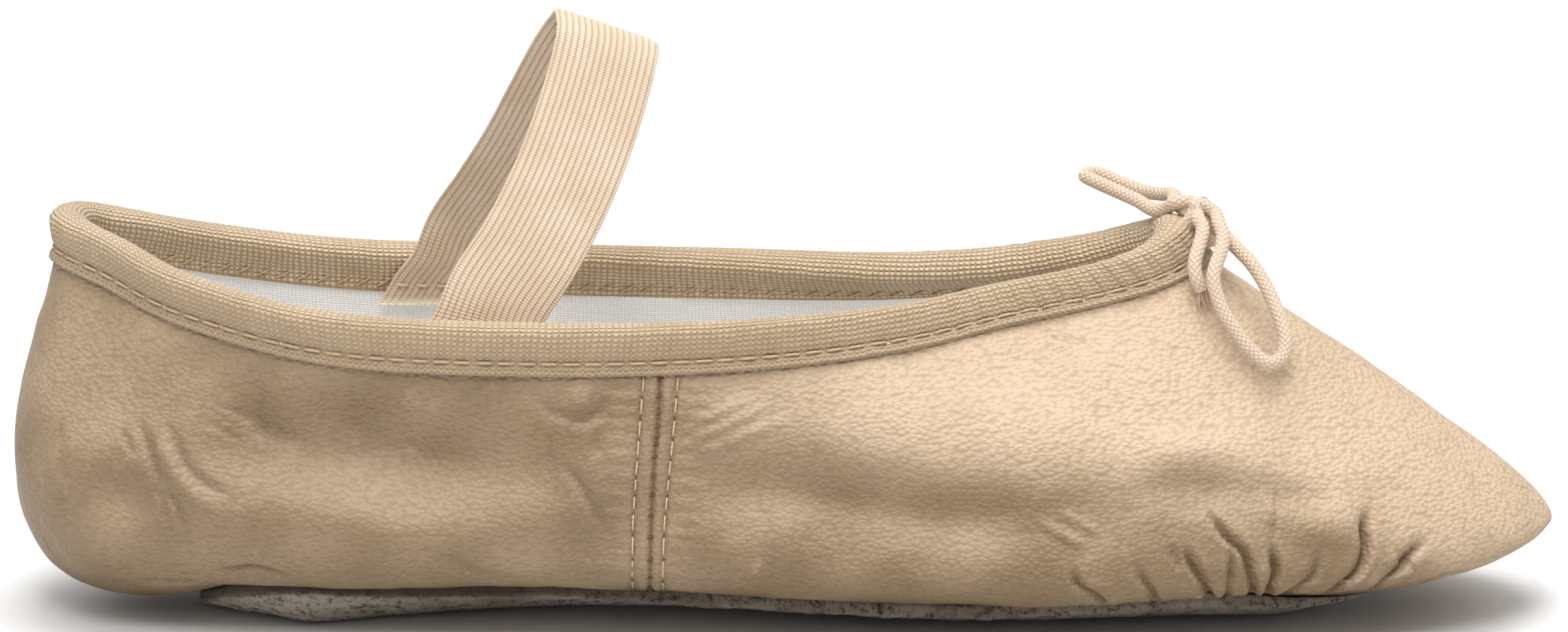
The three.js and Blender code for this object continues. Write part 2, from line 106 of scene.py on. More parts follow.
# The leather's upper edge: along, out and up, as shares of the collar's sizes.
COLLAR = [
    (0, 0, 1), (0.012, 0.21, 0.994), (0.05, 0.385, 0.96), (0.12, 0.68, 0.894), (0.25, 0.935, 0.826),
    (0.43, 1, 0.806), (0.6, 0.895, 0.803), (0.735, 0.665, 0.813), (0.83, 0.45, 0.845),
    (0.91, 0.37, 0.885), (0.96, 0.315, 0.922), (0.99, 0.185, 0.952), (1, 0, 0.966),
]
# How the leather leaves that edge: dip in degrees, reach and rise.
WALL_LOOK = [
    (78, 0.36, 0.33), (78, 0.36, 0.33), (78, 0.36, 0.33), (79, 0.36, 0.33), (79, 0.36, 0.33),
    (76, 0.36, 0.33), (66, 0.37, 0.33), (50, 0.4, 0.34), (39, 0.4, 0.31), (36, 0.36, 0.25),
    (37, 0.3, 0.17), (39, 0.26, 0.11), (40, 0.25, 0.09),
]
# The outsole's edge: along and out, as shares of the sole's sizes, then flat and curl.
SOLE = [
    (0, 0, 0.5, 0.3), (0.0125, 0.38, 0.4, 1.2), (0.042, 0.68, 0.38, 2.5), (0.1, 0.86, 0.5, 3.1),
    (0.18, 0.75, 0.3, 2.5), (0.295, 0.65, 0.2, 1.85), (0.445, 0.74, 0.1, 1.2), (0.59, 0.92, 0.1, 1.45),
    (0.73, 1, 0.1, 2), (0.845, 0.93, 0.1, 2.5), (0.93, 0.72, 0.1, 1.5), (0.985, 0.4, 0.1, 0.8),
    (1, 0, 0.2, 0.4),
]
# How the leather goes on past that edge: spread, sag and drop.
LOWER_LOOK = [
    (0.82, 2.7, 0.6), (0.8, 2.3, 0.46), (0.66, 0.9, 0.65), (0.66, 0.2, 0.45), (0.45, 0, 0.6),
    (0.45, -0.5, 0.62), (0.45, -0.8, 0.6), (0.45, -0.85, 0.6), (0.45, -0.85, 0.6), (0.45, -0.95, 0.6),
    (0.35, -0.5, 0.4), (0.3, -0.2, 0.2), (0.33, 0, 0.2),
]
# The strap's legs, from the near side to the far side: up, out and ahead, as shares of STRAP_RISE, the near
# foot's distance out and STRAP_AHEAD, then lean in degrees.
STRAP = [
    (0.08, -0.93, 0.12, 30), (0.25, -0.795, 0.385, 29), (0.45, -0.61, 0.635, 26), (0.65, -0.43, 0.825, 22),
    (0.84, -0.255, 0.965, 20), (0.96, -0.125, 1.025, 19), (1, 0.01, 1.005, 19), (0.955, 0.14, 0.935, 19),
    (0.84, 0.255, 0.775, 22), (0.65, 0.43, 0.555, 27), (0.45, 0.61, 0.325, 30), (0.25, 0.795, 0.055, 31),
    (0.08, 0.93, -0.195, 32),
]
# The bow's cords, in millimetres from the knot's middle: ahead, to the far side and up.
NEAR_LOOP = [
    (2.8, -1.6, -0.2), (3.3, -4.4, -1.2), (3.8, -7.5, -2.8), (3.3, -10, -4.6), (2.4, -12.3, -6.3),
    (2, -13.6, -7.8), (2.4, -14.6, -10), (3.5, -15.8, -12.7), (5.2, -16.8, -15.2), (7.6, -17.8, -18.2),
    (10.3, -18.2, -20.1), (12.3, -17.4, -19.4), (13, -16, -17.2), (12.5, -14.4, -14.9), (11.3, -12, -11.8),
    (9.9, -9.6, -9.2), (8.2, -7.4, -6.9), (5.9, -4.6, -4.9), (3.8, -2, -3.1),
]
FAR_LOOP = [
    (-2.9, 0.4, 1), (-4, 1.6, 0.1), (-5.8, 3.2, -0.9), (-8.8, 7, 0), (-12.2, 11, 0.8), (-15.3, 13.4, 1.8),
    (-16.4, 14.8, 2.2), (-15, 15.9, 2.4), (-10.7, 14.8, 1), (-7.3, 12, 0.3), (-4.7, 9, 0.5),
    (-3.1, 6.3, 1), (-2.9, 3.1, 0.4),
]
NEAR_END = [
    (0.2, -3.4, -0.7), (0.8, -5.6, -1.9), (0.1, -8.6, -3.9), (-0.7, -11, -6.1), (-0.5, -12.2, -8.2),
    (0.4, -12.2, -10),
]
FAR_END = [(0.8, 3.2, 0), (2, 7.6, -2), (3, 10.4, -4.8), (3.2, 12.4, -8)]


def linear(text):
    """The linear colour of an sRGB hex value."""
    parts = [int(text[i : i + 2], 16) / 255 for i in (1, 3, 5)]
    return [c / 12.92 if c <= 0.04045 else ((c + 0.055) / 1.055) ** 2.4 for c in parts]


# The surfaces of the shoe


def round_points(half, mirrored=True):
    """The 24 control points around the shoe: the near half's, then the far half's back to the heel."""
    near = np.array(half, float)
    far = near[-2:0:-1].copy()
    if mirrored:
        near[:, 1] *= -1
    return np.concatenate([near, far])


def edge_points(rows, start, length, width, height):
    """Control points in millimetres from shares of a length, half a width and a height."""
    return round_points([(start + r[0] * length, r[1] * width / 2, r[2] * height) for r in rows])


def at(points, u):
    """The closed smooth line through control points at u, a share of the way around."""
    where = (np.asarray(u, float) % 1.0) * len(points)
    index = np.floor(where).astype(int)
    share = (where - index)[..., None]
    a, b, c, d = (points[(index + k) % len(points)] for k in (-1, 0, 1, 2))
    return 0.5 * (
        2 * b + (c - a) * share + (2 * a - 5 * b + 4 * c - d) * share**2 + (3 * b - a - 3 * c + d) * share**3
    )


WIDEST_LINE = edge_points(WIDEST, 0, SHOE_LENGTH, BALL_WIDTH, WIDEST_HEIGHT)
COLLAR_LINE = edge_points(COLLAR, HEEL_X + COLLAR_SETBACK, COLLAR_LENGTH, COLLAR_WIDTH, COLLAR_HEIGHT)
SOLE_LINE = edge_points(
    [(r[0], r[1], r[3]) for r in SOLE], HEEL_X + SOLE_SETBACK, SOLE_LENGTH, SOLE_WIDTH, SOLE_THICKNESS
)
SOLE_FLAT = round_points([(r[2], 0, 0) for r in SOLE], False)
WALL_SHAPE = round_points(WALL_LOOK, False)
LOWER_SHAPE = round_points(LOWER_LOOK, False)


def mix(a, b, share):
    return a + (b - a) * share


def unit(v):
    return v / np.maximum(np.linalg.norm(v, axis=-1, keepdims=True), 1e-12)


def smooth(low, high, value):
    """0 below low, 1 above high and an even curve between them."""
    share = np.clip((value - low) / (high - low), 0, 1)
    return share * share * (3 - 2 * share)


def arch_height(x):
    share = np.minimum(1, np.abs(x - ARCH_CENTRE) / ARCH_HALF_LENGTH)
    return ARCH_RISE * (1 - share**2) ** 2


def underside(u, s):
    """The outsole's underside at u around the shoe and s from the middle line to the edge."""
    edge = at(SOLE_LINE, u)
    front = HEEL_X + SOLE_SETBACK + SOLE_LENGTH - SPINE_INSET
    spine = np.clip(edge[..., 0], HEEL_X + SOLE_SETBACK + SPINE_INSET, front)
    flat = at(SOLE_FLAT, u)[..., 0]
    curl = np.maximum(0, (s - flat) / (1 - flat)) ** 2
    x = mix(spine, edge[..., 0], s)
    return np.stack([x, edge[..., 1] * s, arch_height(x) + edge[..., 2] * curl], -1)


def normal_of(surface, u, t):
    """The unit normal of a surface, pointing out of the shoe."""
    low = np.where(t < 0.5, t, t - STEP)
    across = surface(u, low + STEP) - surface(u, low)
    return unit(np.cross(surface(u + STEP, t) - surface(u - STEP, t), across))


def over_sole(height):
    """The surface at a height over the outsole's underside, measured square to it."""

    def surface(u, s):
        return underside(u, s) - height * normal_of(underside, u, np.maximum(s, 0.05))

    return surface


def inset_share(u, inset):
    """The share of the way out to the outsole's edge that lies at an inset from it."""
    across = (underside(u, 1.0) - underside(u, 0.0))[..., :2]
    return 1 - inset / np.linalg.norm(across, axis=-1)


def cubic(a, b, c, d, t):
    t = np.asarray(t)[..., None]
    r = 1 - t
    return a * r**3 + 3 * b * r * r * t + 3 * c * r * t * t + d * t**3


def with_height(point, height):
    return np.concatenate([point[..., :2], height[..., None]], -1)


FLANGE_LAYER = over_sole(FLANGE_HEIGHT)


def flange(u, t):
    """The margin turned in over the outsole."""
    return FLANGE_LAYER(u, mix(inset_share(u, LASTING_MARGIN), 1, t))


def lower_wall(u, t):
    """The leather from the outsole's edge up to the widest line."""
    start = FLANGE_LAYER(u, np.ones_like(u))
    end = at(WIDEST_LINE, u)
    look = at(LOWER_SHAPE, u)
    first = with_height(mix(start, end, look[..., :1]), start[..., 2] - look[..., 1] * SOLE_THICKNESS)
    second = with_height(end, end[..., 2] - look[..., 2] * (end[..., 2] - start[..., 2]))
    return cubic(start, first, second, end, t)


def wall(u, t):
    """The leather from the widest line up to its upper edge."""
    start = at(WIDEST_LINE, u)
    end = at(COLLAR_LINE, u)
    look = at(WALL_SHAPE, u)
    distance = np.linalg.norm(end - start, axis=-1)
    fall = np.radians(look[..., 0])
    level = unit(start[..., :2] - end[..., :2]) * np.cos(fall)[..., None]
    way = np.concatenate([level, -np.sin(fall)[..., None]], -1)
    first = with_height(start, start[..., 2] + look[..., 2] * distance)
    second = end + way * (look[..., 1] * distance)[..., None]
    return cubic(start, first, second, end, t)


def under(stretch, u, t, depth):
    """A point at a depth under the outer face of one of these stretches."""
    return stretch(u, t) - normal_of(stretch, u, t) * np.asarray(depth)[..., None]


def wall_share(u, distance):
    """The wall's share at a distance down from the leather's upper edge."""
    edge = wall(u, np.ones_like(u))
    low, high = np.zeros_like(u), np.ones_like(u)
    for _ in range(14):
        middle = (low + high) / 2
        far = np.linalg.norm(wall(u, middle) - edge, axis=-1) > distance
        low, high = np.where(far, middle, low), np.where(far, high, middle)
    return high


def swell(distance):
    """How far the drawstring stands the tape off the leather."""
    return CASING_SWELL * (1 - np.minimum(1, distance / CASING_DEPTH) ** 2) ** 2


def open_line(points, count, even=False):
    """Points along an open smooth line through control points: centripetal, or even."""
    points = np.array(points, float)
    ends = [2 * points[0] - points[1]], [2 * points[-1] - points[-2]]
    line = np.concatenate([ends[0], points, ends[1]])
    where = np.linspace(0, len(points) - 1, count)
    index = np.minimum(where.astype(int), len(points) - 2)
    a, b, c, d = (line[index + k] for k in range(4))
    if even:
        d0 = d1 = d2 = np.ones((count, 1))
    else:
        steps = (b - a, c - b, d - c)
        d0, d1, d2 = (np.sqrt(np.linalg.norm(step, axis=-1, keepdims=True)) for step in steps)
    leave = ((b - a) / d0 - (c - a) / (d0 + d1) + (c - b) / d1) * d1
    arrive = ((c - b) / d1 - (d - b) / (d1 + d2) + (d - c) / d2) * d1
    s = (where - index)[:, None]
    return (
        (2 * s**3 - 3 * s**2 + 1) * b + (s**3 - 2 * s**2 + s) * leave
        + (3 * s**2 - 2 * s**3) * c + (s**3 - s**2) * arrive
    )


# Meshes

FIRST_UP = (0.3, -0.2, 1)  # a way that no cord starts along, to turn its first ring
STITCH_SIDES = 6
WAVES = 9  # that a ripple is the sum of
WAVE_SPREAD = 4.2  # brings that sum to about -1 to 1


def ripple(points, size, seed):
    """An even, repeatable unevenness from -1 to 1 at points, with bumps about size across."""
    source = np.random.default_rng(seed)
    total = np.zeros(points.shape[:-1])
    for _ in range(WAVES):
        way = unit(source.normal(size=3)) * source.uniform(0.7, 1.5) * 2 * math.pi / (2 * size)
        total += np.sin(points @ way + source.uniform(0, 2 * math.pi))
    return total / WAVE_SPREAD


def make_mesh(name, points, faces, uv=None, values=None):
    """A new smooth-shaded object from points in millimetres, with its own UV map and named values."""
    mesh = bpy.data.meshes.new(name)
    mesh.from_pydata((np.asarray(points).reshape(-1, 3) * MM).tolist(), [], faces)
    mesh.polygons.foreach_set("use_smooth", np.ones(len(mesh.polygons), bool))
    if uv is not None:
        layer = mesh.uv_layers.new(name="cloth")
        layer.uv.foreach_set("vector", np.asarray(uv, np.float32).reshape(-1))
    for key, data in (values or {}).items():
        layer = mesh.attributes.new(key, "FLOAT", "POINT")
        layer.data.foreach_set("value", np.asarray(data, np.float32).reshape(-1))
    mesh.update()
    made = bpy.data.objects.new(name, mesh)
    bpy.context.scene.collection.objects.link(made)
    return made


def grid_faces(rows, columns, row_loop, column_loop):
    """The quads of a grid of points, and the grid places of their corners, unwrapped."""
    i, j = np.meshgrid(
        np.arange(rows if row_loop else rows - 1),
        np.arange(columns if column_loop else columns - 1),
        indexing="ij",
    )
    i, j = i.reshape(-1), j.reshape(-1)
    corners = np.stack([i, j, i + 1, j, i + 1, j + 1, i, j + 1], -1).reshape(-1, 4, 2)
    faces = (corners[..., 0] % rows) * columns + corners[..., 1] % columns
    return faces, corners


def lengths_along(points, axis, loop):
    """The running length along an axis of a grid of points."""
    if loop:
        points = np.concatenate([points, np.take(points, [0], axis)], axis)
    steps = np.linalg.norm(np.diff(points, axis=axis), axis=-1)
    zero = np.zeros_like(np.take(steps, [0], axis))
    return np.concatenate([zero, np.cumsum(steps, axis)], axis)


def around_mesh(name, rings, values=None, loop=True):
    """The surface around the shoe through a profile at each step, with a UV map in millimetres."""
    rows, columns = rings.shape[:2]
    faces, corners = grid_faces(rows, columns, True, loop)
    along = lengths_along(rings, 0, True).mean(1)
    down = lengths_along(rings, 1, loop).mean(0)
    uv = np.stack([along[corners[..., 0]], down[corners[..., 1]]], -1)
    return make_mesh(name, rings, faces.tolist(), uv, values)


def tube(path, radius, sides):
    """The points around a path, as a grid of rings that don't twist."""
    path = np.asarray(path, float)
    way = unit(np.gradient(path, axis=0))
    side = unit(np.cross(way[0], FIRST_UP))
    frames = []
    for w in way:
        side = unit(side - w * np.dot(side, w))
        frames.append((side, np.cross(w, side)))
    frames = np.array(frames)
    angle = np.arange(sides) / sides * 2 * math.pi
    ring = frames[:, :1] * np.cos(angle)[None, :, None] + frames[:, 1:] * np.sin(angle)[None, :, None]
    return path[:, None] + ring * radius


def add_cord(name, path, radius, sides):
    """A cord's mesh along a path in millimetres, with a point at each end."""
    rings = tube(path, radius, sides)
    rows = len(rings)
    faces, corners = grid_faces(rows, sides, False, True)
    along = lengths_along(np.asarray(path, float), 0, False)
    uv = np.stack([corners[..., 1] / sides, along[corners[..., 0]]], -1)
    points = np.concatenate([rings.reshape(-1, 3), [path[0]], [path[-1]]])
    first, last = rows * sides, rows * sides + 1
    final_ring = (rows - 1) * sides
    ends = [[first, (k + 1) % sides, k] for k in range(sides)]
    ends += [[last, final_ring + k, final_ring + (k + 1) % sides] for k in range(sides)]
    end_uv = [[(k / sides, length)] * 3 for length in (0.0, along[-1]) for k in range(sides)]
    uv = np.concatenate([uv.reshape(-1, 2), np.array(end_uv).reshape(-1, 2)])
    return make_mesh(name, points, faces.tolist() + ends, uv)


def stitches(name, starts, ends, normals, radius, lift, dip=0.25):
    """Short thread stitches as one mesh: each bows out of the cloth and dips into it at both ends."""
    starts, ends, normals = (np.asarray(v, float) for v in (starts, ends, normals))
    share = np.array([0, 0.08, 0.3, 0.5, 0.7, 0.92, 1])
    bow = np.array([-dip, 0.45 * lift, 0.93 * lift, lift, 0.93 * lift, 0.45 * lift, -dip])
    width = np.array([0.7, 0.95, 1, 1, 1, 0.95, 0.7]) * radius
    path = mix(starts[:, None], ends[:, None], share[None, :, None]) + normals[:, None] * bow[None, :, None]
    side = unit(np.cross(ends - starts, normals))[:, None, None]
    angle = (np.arange(STITCH_SIDES) / STITCH_SIDES * 2 * math.pi)[None, None, :, None]
    out = normals[:, None, None] * np.sin(angle) + side * np.cos(angle)
    rings = path[:, :, None] + out * width[None, :, None, None]
    count = len(share) * STITCH_SIDES
    one = grid_faces(len(share), STITCH_SIDES, False, True)[0][:, ::-1]
    faces = [face for k in range(len(starts)) for face in (one + k * count).tolist()]
    first = list(range(STITCH_SIDES))
    last = [count - 1 - k for k in first]
    faces += [[corner + k * count for corner in cap] for k in range(len(starts)) for cap in (first, last)]
    return make_mesh(name, rings, faces)


# Materials

PLAITS_AROUND = 8.0
PLAIT_LENGTH = 0.95  # millimetres along the cord


def new_material(name):
    """An empty material with a shader and its output."""
    made = bpy.data.materials.new(name)
    made.use_nodes = True
    tree = made.node_tree
    tree.nodes.clear()
    shader = add_node(tree, "ShaderNodeBsdfPrincipled")
    add_node(tree, "ShaderNodeOutputMaterial", links={"Surface": shader.outputs["BSDF"]})
    return made, tree, shader


def add_node(tree, kind, settings=None, values=None, links=None):
    """Adds a node, sets its properties and socket values, and links its inputs."""
    node = tree.nodes.new(kind)
    for key, value in (settings or {}).items():
        setattr(node, key, value)
    for key, value in (values or {}).items():
        node.inputs[key].default_value = value
    for key, source in (links or {}).items():
        tree.links.new(source, node.inputs[key])
    return node


def colour(value):
    return (*value[:3], 1.0)


def finish_piece(piece, material, slot, *nodes):
    """Gives a finished piece its material and its body, and hides the CAD nodes it stands for. The slot is not
    used.
    """
    if material is not None:
        piece.data.materials.append(material)
    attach(piece, "root")
    if nodes:
        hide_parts(*nodes)
    return piece


def weave_height(tree, threads):
    """Plain weave from a vector that counts threads both ways: a bump where each thread comes up."""
    both = vector_sum(tree, "SCALE", {"Scale": math.pi}, {0: threads})
    ways = add_node(tree, "ShaderNodeSeparateXYZ", None, None, {0: vector_sum(tree, "SINE", None, {0: both})})
    return reckoned(tree, "ABSOLUTE", times(tree, ways.outputs[0], ways.outputs[1]))


def uneven_threads(tree, across, along, waver):
    """The cloth's UV map counted in threads, a little uneven, as hand-pulled cloth is."""
    cloth = add_node(tree, "ShaderNodeUVMap", {"uv_map": "cloth"}).outputs[0]
    noise = add_node(tree, "ShaderNodeTexNoise", None, {"Scale": 0.22, "Detail": 2.0}, {"Vector": cloth})
    centred = vector_sum(tree, "SUBTRACT", {1: (0.5, 0.5, 0.5)}, {0: noise.outputs["Color"]})
    pushed = vector_sum(tree, "SCALE", {"Scale": waver}, {0: centred})
    moved = vector_sum(tree, "ADD", None, {0: cloth, 1: pushed})
    return vector_sum(tree, "MULTIPLY", {1: (1 / across, 1 / along, 0)}, {0: moved})


def object_noise(tree, size, detail=3.0, roughness=0.55):
    """Noise on the object's own coordinates, with bumps of a size in metres."""
    place = add_node(tree, "ShaderNodeTexCoord").outputs["Object"]
    values = {"Scale": 1 / size, "Detail": detail, "Roughness": roughness}
    return add_node(tree, "ShaderNodeTexNoise", None, values, {"Vector": place}).outputs["Fac"]


def ramp(tree, source, low, high):
    """A value stretched from low to high over 0 to 1."""
    settings, values = {"interpolation_type": "SMOOTHSTEP"}, {"From Min": low, "From Max": high}
    return add_node(tree, "ShaderNodeMapRange", settings, values, {0: source}).outputs[0]


def blend_colour(tree, share, first, second):
    """A mix of two colours, each a value or a socket."""
    node = add_node(tree, "ShaderNodeMix", {"data_type": "RGBA"}, None, {0: share})
    for place, value in ((6, first), (7, second)):
        if isinstance(value, bpy.types.NodeSocket):
            tree.links.new(value, node.inputs[place])
        else:
            node.inputs[place].default_value = colour(value)
    return node.outputs[2]


def noise_blend(tree, noise, low, high, first, second):
    """A mix of two colours in the patches of a noise."""
    return blend_colour(tree, ramp(tree, noise, low, high), first, second)


def named_value(tree, key):
    return add_node(tree, "ShaderNodeAttribute", {"attribute_name": key}).outputs["Fac"]


def reckoned(tree, operation, a, b=None):
    """A sum worked out by a Math node from a socket and a socket or a number."""
    node = add_node(tree, "ShaderNodeMath", {"operation": operation}, None, {0: a})
    if isinstance(b, bpy.types.NodeSocket):
        tree.links.new(b, node.inputs[1])
    elif b is not None:
        node.inputs[1].default_value = b
    return node.outputs[0]


def times(tree, a, b):
    return reckoned(tree, "MULTIPLY", a, b)


def vector_sum(tree, operation, values=None, links=None):
    """A sum worked out by a Vector Math node."""
    return add_node(tree, "ShaderNodeVectorMath", {"operation": operation}, values, links).outputs[0]


def set_surface(tree, shader, base, roughness, **others):
    """Gives a shader its colour socket, its roughness as a socket or a number, and its other values."""
    tree.links.new(base, shader.inputs["Base Color"])
    if isinstance(roughness, bpy.types.NodeSocket):
        tree.links.new(roughness, shader.inputs["Roughness"])
    else:
        shader.inputs["Roughness"].default_value = roughness
    for name, value in others.items():
        shader.inputs[name.replace("_", " ")].default_value = value


def bumped(tree, shader, *heights):
    """Bump from heights, each with its depth in metres, the coarse ones first."""
    last = None
    for height, depth in heights:
        node = add_node(tree, "ShaderNodeBump", None, {"Strength": 1.0, "Distance": depth}, {"Height": height})
        if last is not None:
            tree.links.new(last, node.inputs["Normal"])
        last = node.outputs[0]
    tree.links.new(last, shader.inputs["Normal"])


def leather_material():
    """Kid leather, drum dyed and worn: a low sheen, a fine pebbled grain, grey-brown dirt with painted shade
    low down, and painted shade between the pebbles and in the creases.
    """
    colours, sizes = bpy.context.scene.slipper_colours, bpy.context.scene.slipper_sizes
    made, tree, shader = new_material("worn_kid_leather")
    patches = times(tree, ramp(tree, object_noise(tree, 0.012, 4.0, 0.6), 0.4, 0.7), 0.4)
    mottled = blend_colour(tree, patches, colours.leather, colours.leather_shade)
    smears = ramp(tree, object_noise(tree, 0.0045, 6.0, 0.7), 0.0, 0.45)
    # Dirt with painted shade, low down and where the leather faces down, broken up in smears.
    dirt_and_shade = times(tree, named_value(tree, "dirt_and_shade"), smears)
    dirty_and_shaded = blend_colour(tree, dirt_and_shade, mottled, colours.leather_dirt_and_shade)
    place = add_node(tree, "ShaderNodeTexCoord").outputs["Object"]
    stretched = vector_sum(tree, "MULTIPLY", {1: (0.75, 0.75, 1.2)}, {0: place})
    # Real kid grain is about 0.3 mm; the pebbles are drawn coarser so that they show.
    pebbles = {"Scale": 1 / sizes.grain, "Smoothness": 0.5}
    settings = {"feature": "SMOOTH_F1"}
    grain = add_node(tree, "ShaderNodeTexVoronoi", settings, pebbles, {"Vector": stretched}).outputs["Distance"]
    # Painted shade between the grain's pebbles.
    pit_shade = times(tree, ramp(tree, grain, 0.4, 0.8), 0.2)
    pit_shaded = blend_colour(tree, pit_shade, dirty_and_shaded, colours.leather_fold_shade)
    # Painted shade in the bottoms of the narrow creases and along the seams' topstitch rows.
    crease_shading = times(tree, named_value(tree, "painted_crease_shade"), 0.95)
    crease_shaded = blend_colour(tree, crease_shading, pit_shaded, colours.leather_fold_shade)
    seamed = blend_colour(tree, named_value(tree, "seam"), crease_shaded, colours.seam_gap)
    cracked = object_noise(tree, 0.0022, 5.0, 0.65)
    bumped(tree, shader, (cracked, 0.00007), (times(tree, grain, -1.0), 0.00031))
    limits = {"To Min": 0.42, "To Max": 0.6}
    shine = add_node(tree, "ShaderNodeMapRange", None, limits, {0: object_noise(tree, 0.008)}).outputs[0]
    set_surface(tree, shader, seamed, shine, Specular_IOR_Level=0.4)
    return made


def cotton_material(name, base, shade, across, along, depth, soiled_and_shaded=None):
    """Plain-weave cotton: matt, with threads that stand up where they cross over, and painted shade in the gaps
    between them.
    """
    made, tree, shader = new_material(name)
    # The threads are drawn coarser than they are, so that they show.
    height = weave_height(tree, uneven_threads(tree, across, along, 0.5))
    spread = noise_blend(tree, object_noise(tree, 0.012), 0.3, 0.75, base, shade)
    if soiled_and_shaded is not None:
        # Dirt with painted shade, where the mesh's values ask for it.
        spread = blend_colour(tree, named_value(tree, "dirt_and_shade"), spread, soiled_and_shaded)
    # Painted shade in the gaps between the threads.
    gap_shaded = noise_blend(tree, height, 0.0, 0.5, [c * 0.62 for c in shade], spread)
    bumped(tree, shader, (object_noise(tree, 0.002, 4.0), 0.0003), (height, depth))
    set_surface(tree, shader, gap_shaded, 0.9, Specular_IOR_Level=0.2, Sheen_Weight=0.25)
    return made


def suede_material():
    """Split suede, cut raw: matt and fuzzy, mottled with specks, and dark brown at its cut edge, with painted
    shadow there from the leather over it.
    """
    colours = bpy.context.scene.slipper_colours
    made, tree, shader = new_material("raw_split_suede")
    fuzz = object_noise(tree, 0.0012, 6.0, 0.75)
    cloudy = noise_blend(tree, object_noise(tree, 0.011, 4.0), 0.3, 0.7, colours.suede, colours.suede_shade)
    dots = object_noise(tree, 0.0014, 6.0, 0.8)
    specks = noise_blend(tree, dots, 0.48, 0.61, cloudy, colours.suede_speck)
    # The cut edge's own dark brown, with painted shadow from the leather over it.
    edge_and_shadow = blend_colour(tree, named_value(tree, "cut_edge_and_shadow"), specks, colours.cut_edge_and_shadow)
    bumped(tree, shader, (object_noise(tree, 0.004, 3.0), 0.0008), (fuzz, 0.0011))
    set_surface(tree, shader, edge_and_shadow, 0.96, Specular_IOR_Level=0.15, Sheen_Weight=0.35)
    return made


def elastic_material():
    """Knitted elastic webbing: soft, with fine threads across its ribs and painted shade in the grooves between
    them.
    """
    colours = bpy.context.scene.slipper_colours
    made, tree, shader = new_material("ribbed_elastic")
    height = weave_height(tree, uneven_threads(tree, 0.5, 0.42, 0.25))
    soft = noise_blend(tree, object_noise(tree, 0.01), 0.3, 0.7, colours.elastic, colours.elastic_shade)
    # Painted shade in the grooves between the ribs.
    groove_shaded = blend_colour(tree, named_value(tree, "groove"), soft, colours.elastic_groove_shade)
    raw = blend_colour(tree, named_value(tree, "raw_end"), groove_shaded, colours.elastic_raw)
    bumped(tree, shader, (height, 0.00012))
    set_surface(tree, shader, raw, 0.75, Sheen_Weight=0.3)
    return made


def braid_material():
    """Round braided elastic cord: small slanting plaits, soft and a little silky, with painted shade between
    the plaits.
    """
    colours = bpy.context.scene.slipper_colours
    made, tree, shader = new_material("braided_elastic_cord")
    cloth = add_node(tree, "ShaderNodeUVMap", {"uv_map": "cloth"}).outputs[0]
    parts = add_node(tree, "ShaderNodeSeparateXYZ", None, None, {0: cloth})
    turns = times(tree, parts.outputs[0], PLAITS_AROUND)
    run = times(tree, parts.outputs[1], 1 / PLAIT_LENGTH)
    slants = {0: reckoned(tree, "ADD", turns, run), 1: reckoned(tree, "SUBTRACT", turns, run)}
    height = weave_height(tree, add_node(tree, "ShaderNodeCombineXYZ", None, None, slants).outputs[0])
    # Painted shade between the plaits.
    plait_shaded = noise_blend(tree, height, -0.25, 0.55, colours.cord_shade, colours.cord)
    bumped(tree, shader, (height, 0.00016), (object_noise(tree, 0.0006, 3.0), 0.00012))
    set_surface(tree, shader, plait_shaded, 0.7, Sheen_Weight=0.3)
    return made


def thread_material(name, base):
    """Spun polyester sewing thread: smooth, with a faint twist."""
    made, tree, shader = new_material(name)
    twist = object_noise(tree, 0.0005, 2.0)
    spun = noise_blend(tree, twist, 0.3, 0.7, [c * 0.8 for c in base], base)
    bumped(tree, shader, (twist, 0.0001))
    set_surface(tree, shader, spun, 0.55)
    return made


# What a user can change


def size_property(name, description, default):
    return bpy.props.FloatProperty(
        name=name, description=description, default=default, min=0, subtype="DISTANCE", unit="LENGTH"
    )


def colour_property(name, description, text):
    return bpy.props.FloatVectorProperty(
        name=name, description=description, default=linear(text), size=3, min=0, max=1, subtype="COLOR",
    )


class SlipperSizes(bpy.types.PropertyGroup):
    """The sizes of the slipper's finish."""

    grain: size_property("Leather grain", "Size of the leather's pebbles, drawn coarse enough to show", 0.0007)
    stitch: size_property("Stitch length", "Length of one stitch of the binding's seam", 0.0033)
    rib: size_property("Elastic rib", "Distance between two ribs of the strap", 0.001)
    lining_thread: size_property("Lining thread", "Distance between two threads of the lining", 0.0006)
    canvas_thread: size_property("Binding thread", "Distance between two threads of the binding", 0.001)
    crease: bpy.props.FloatProperty(
        name="Creasing", description="How deep the leather's creases are",
        default=1, min=0, max=2, subtype="FACTOR",
    )


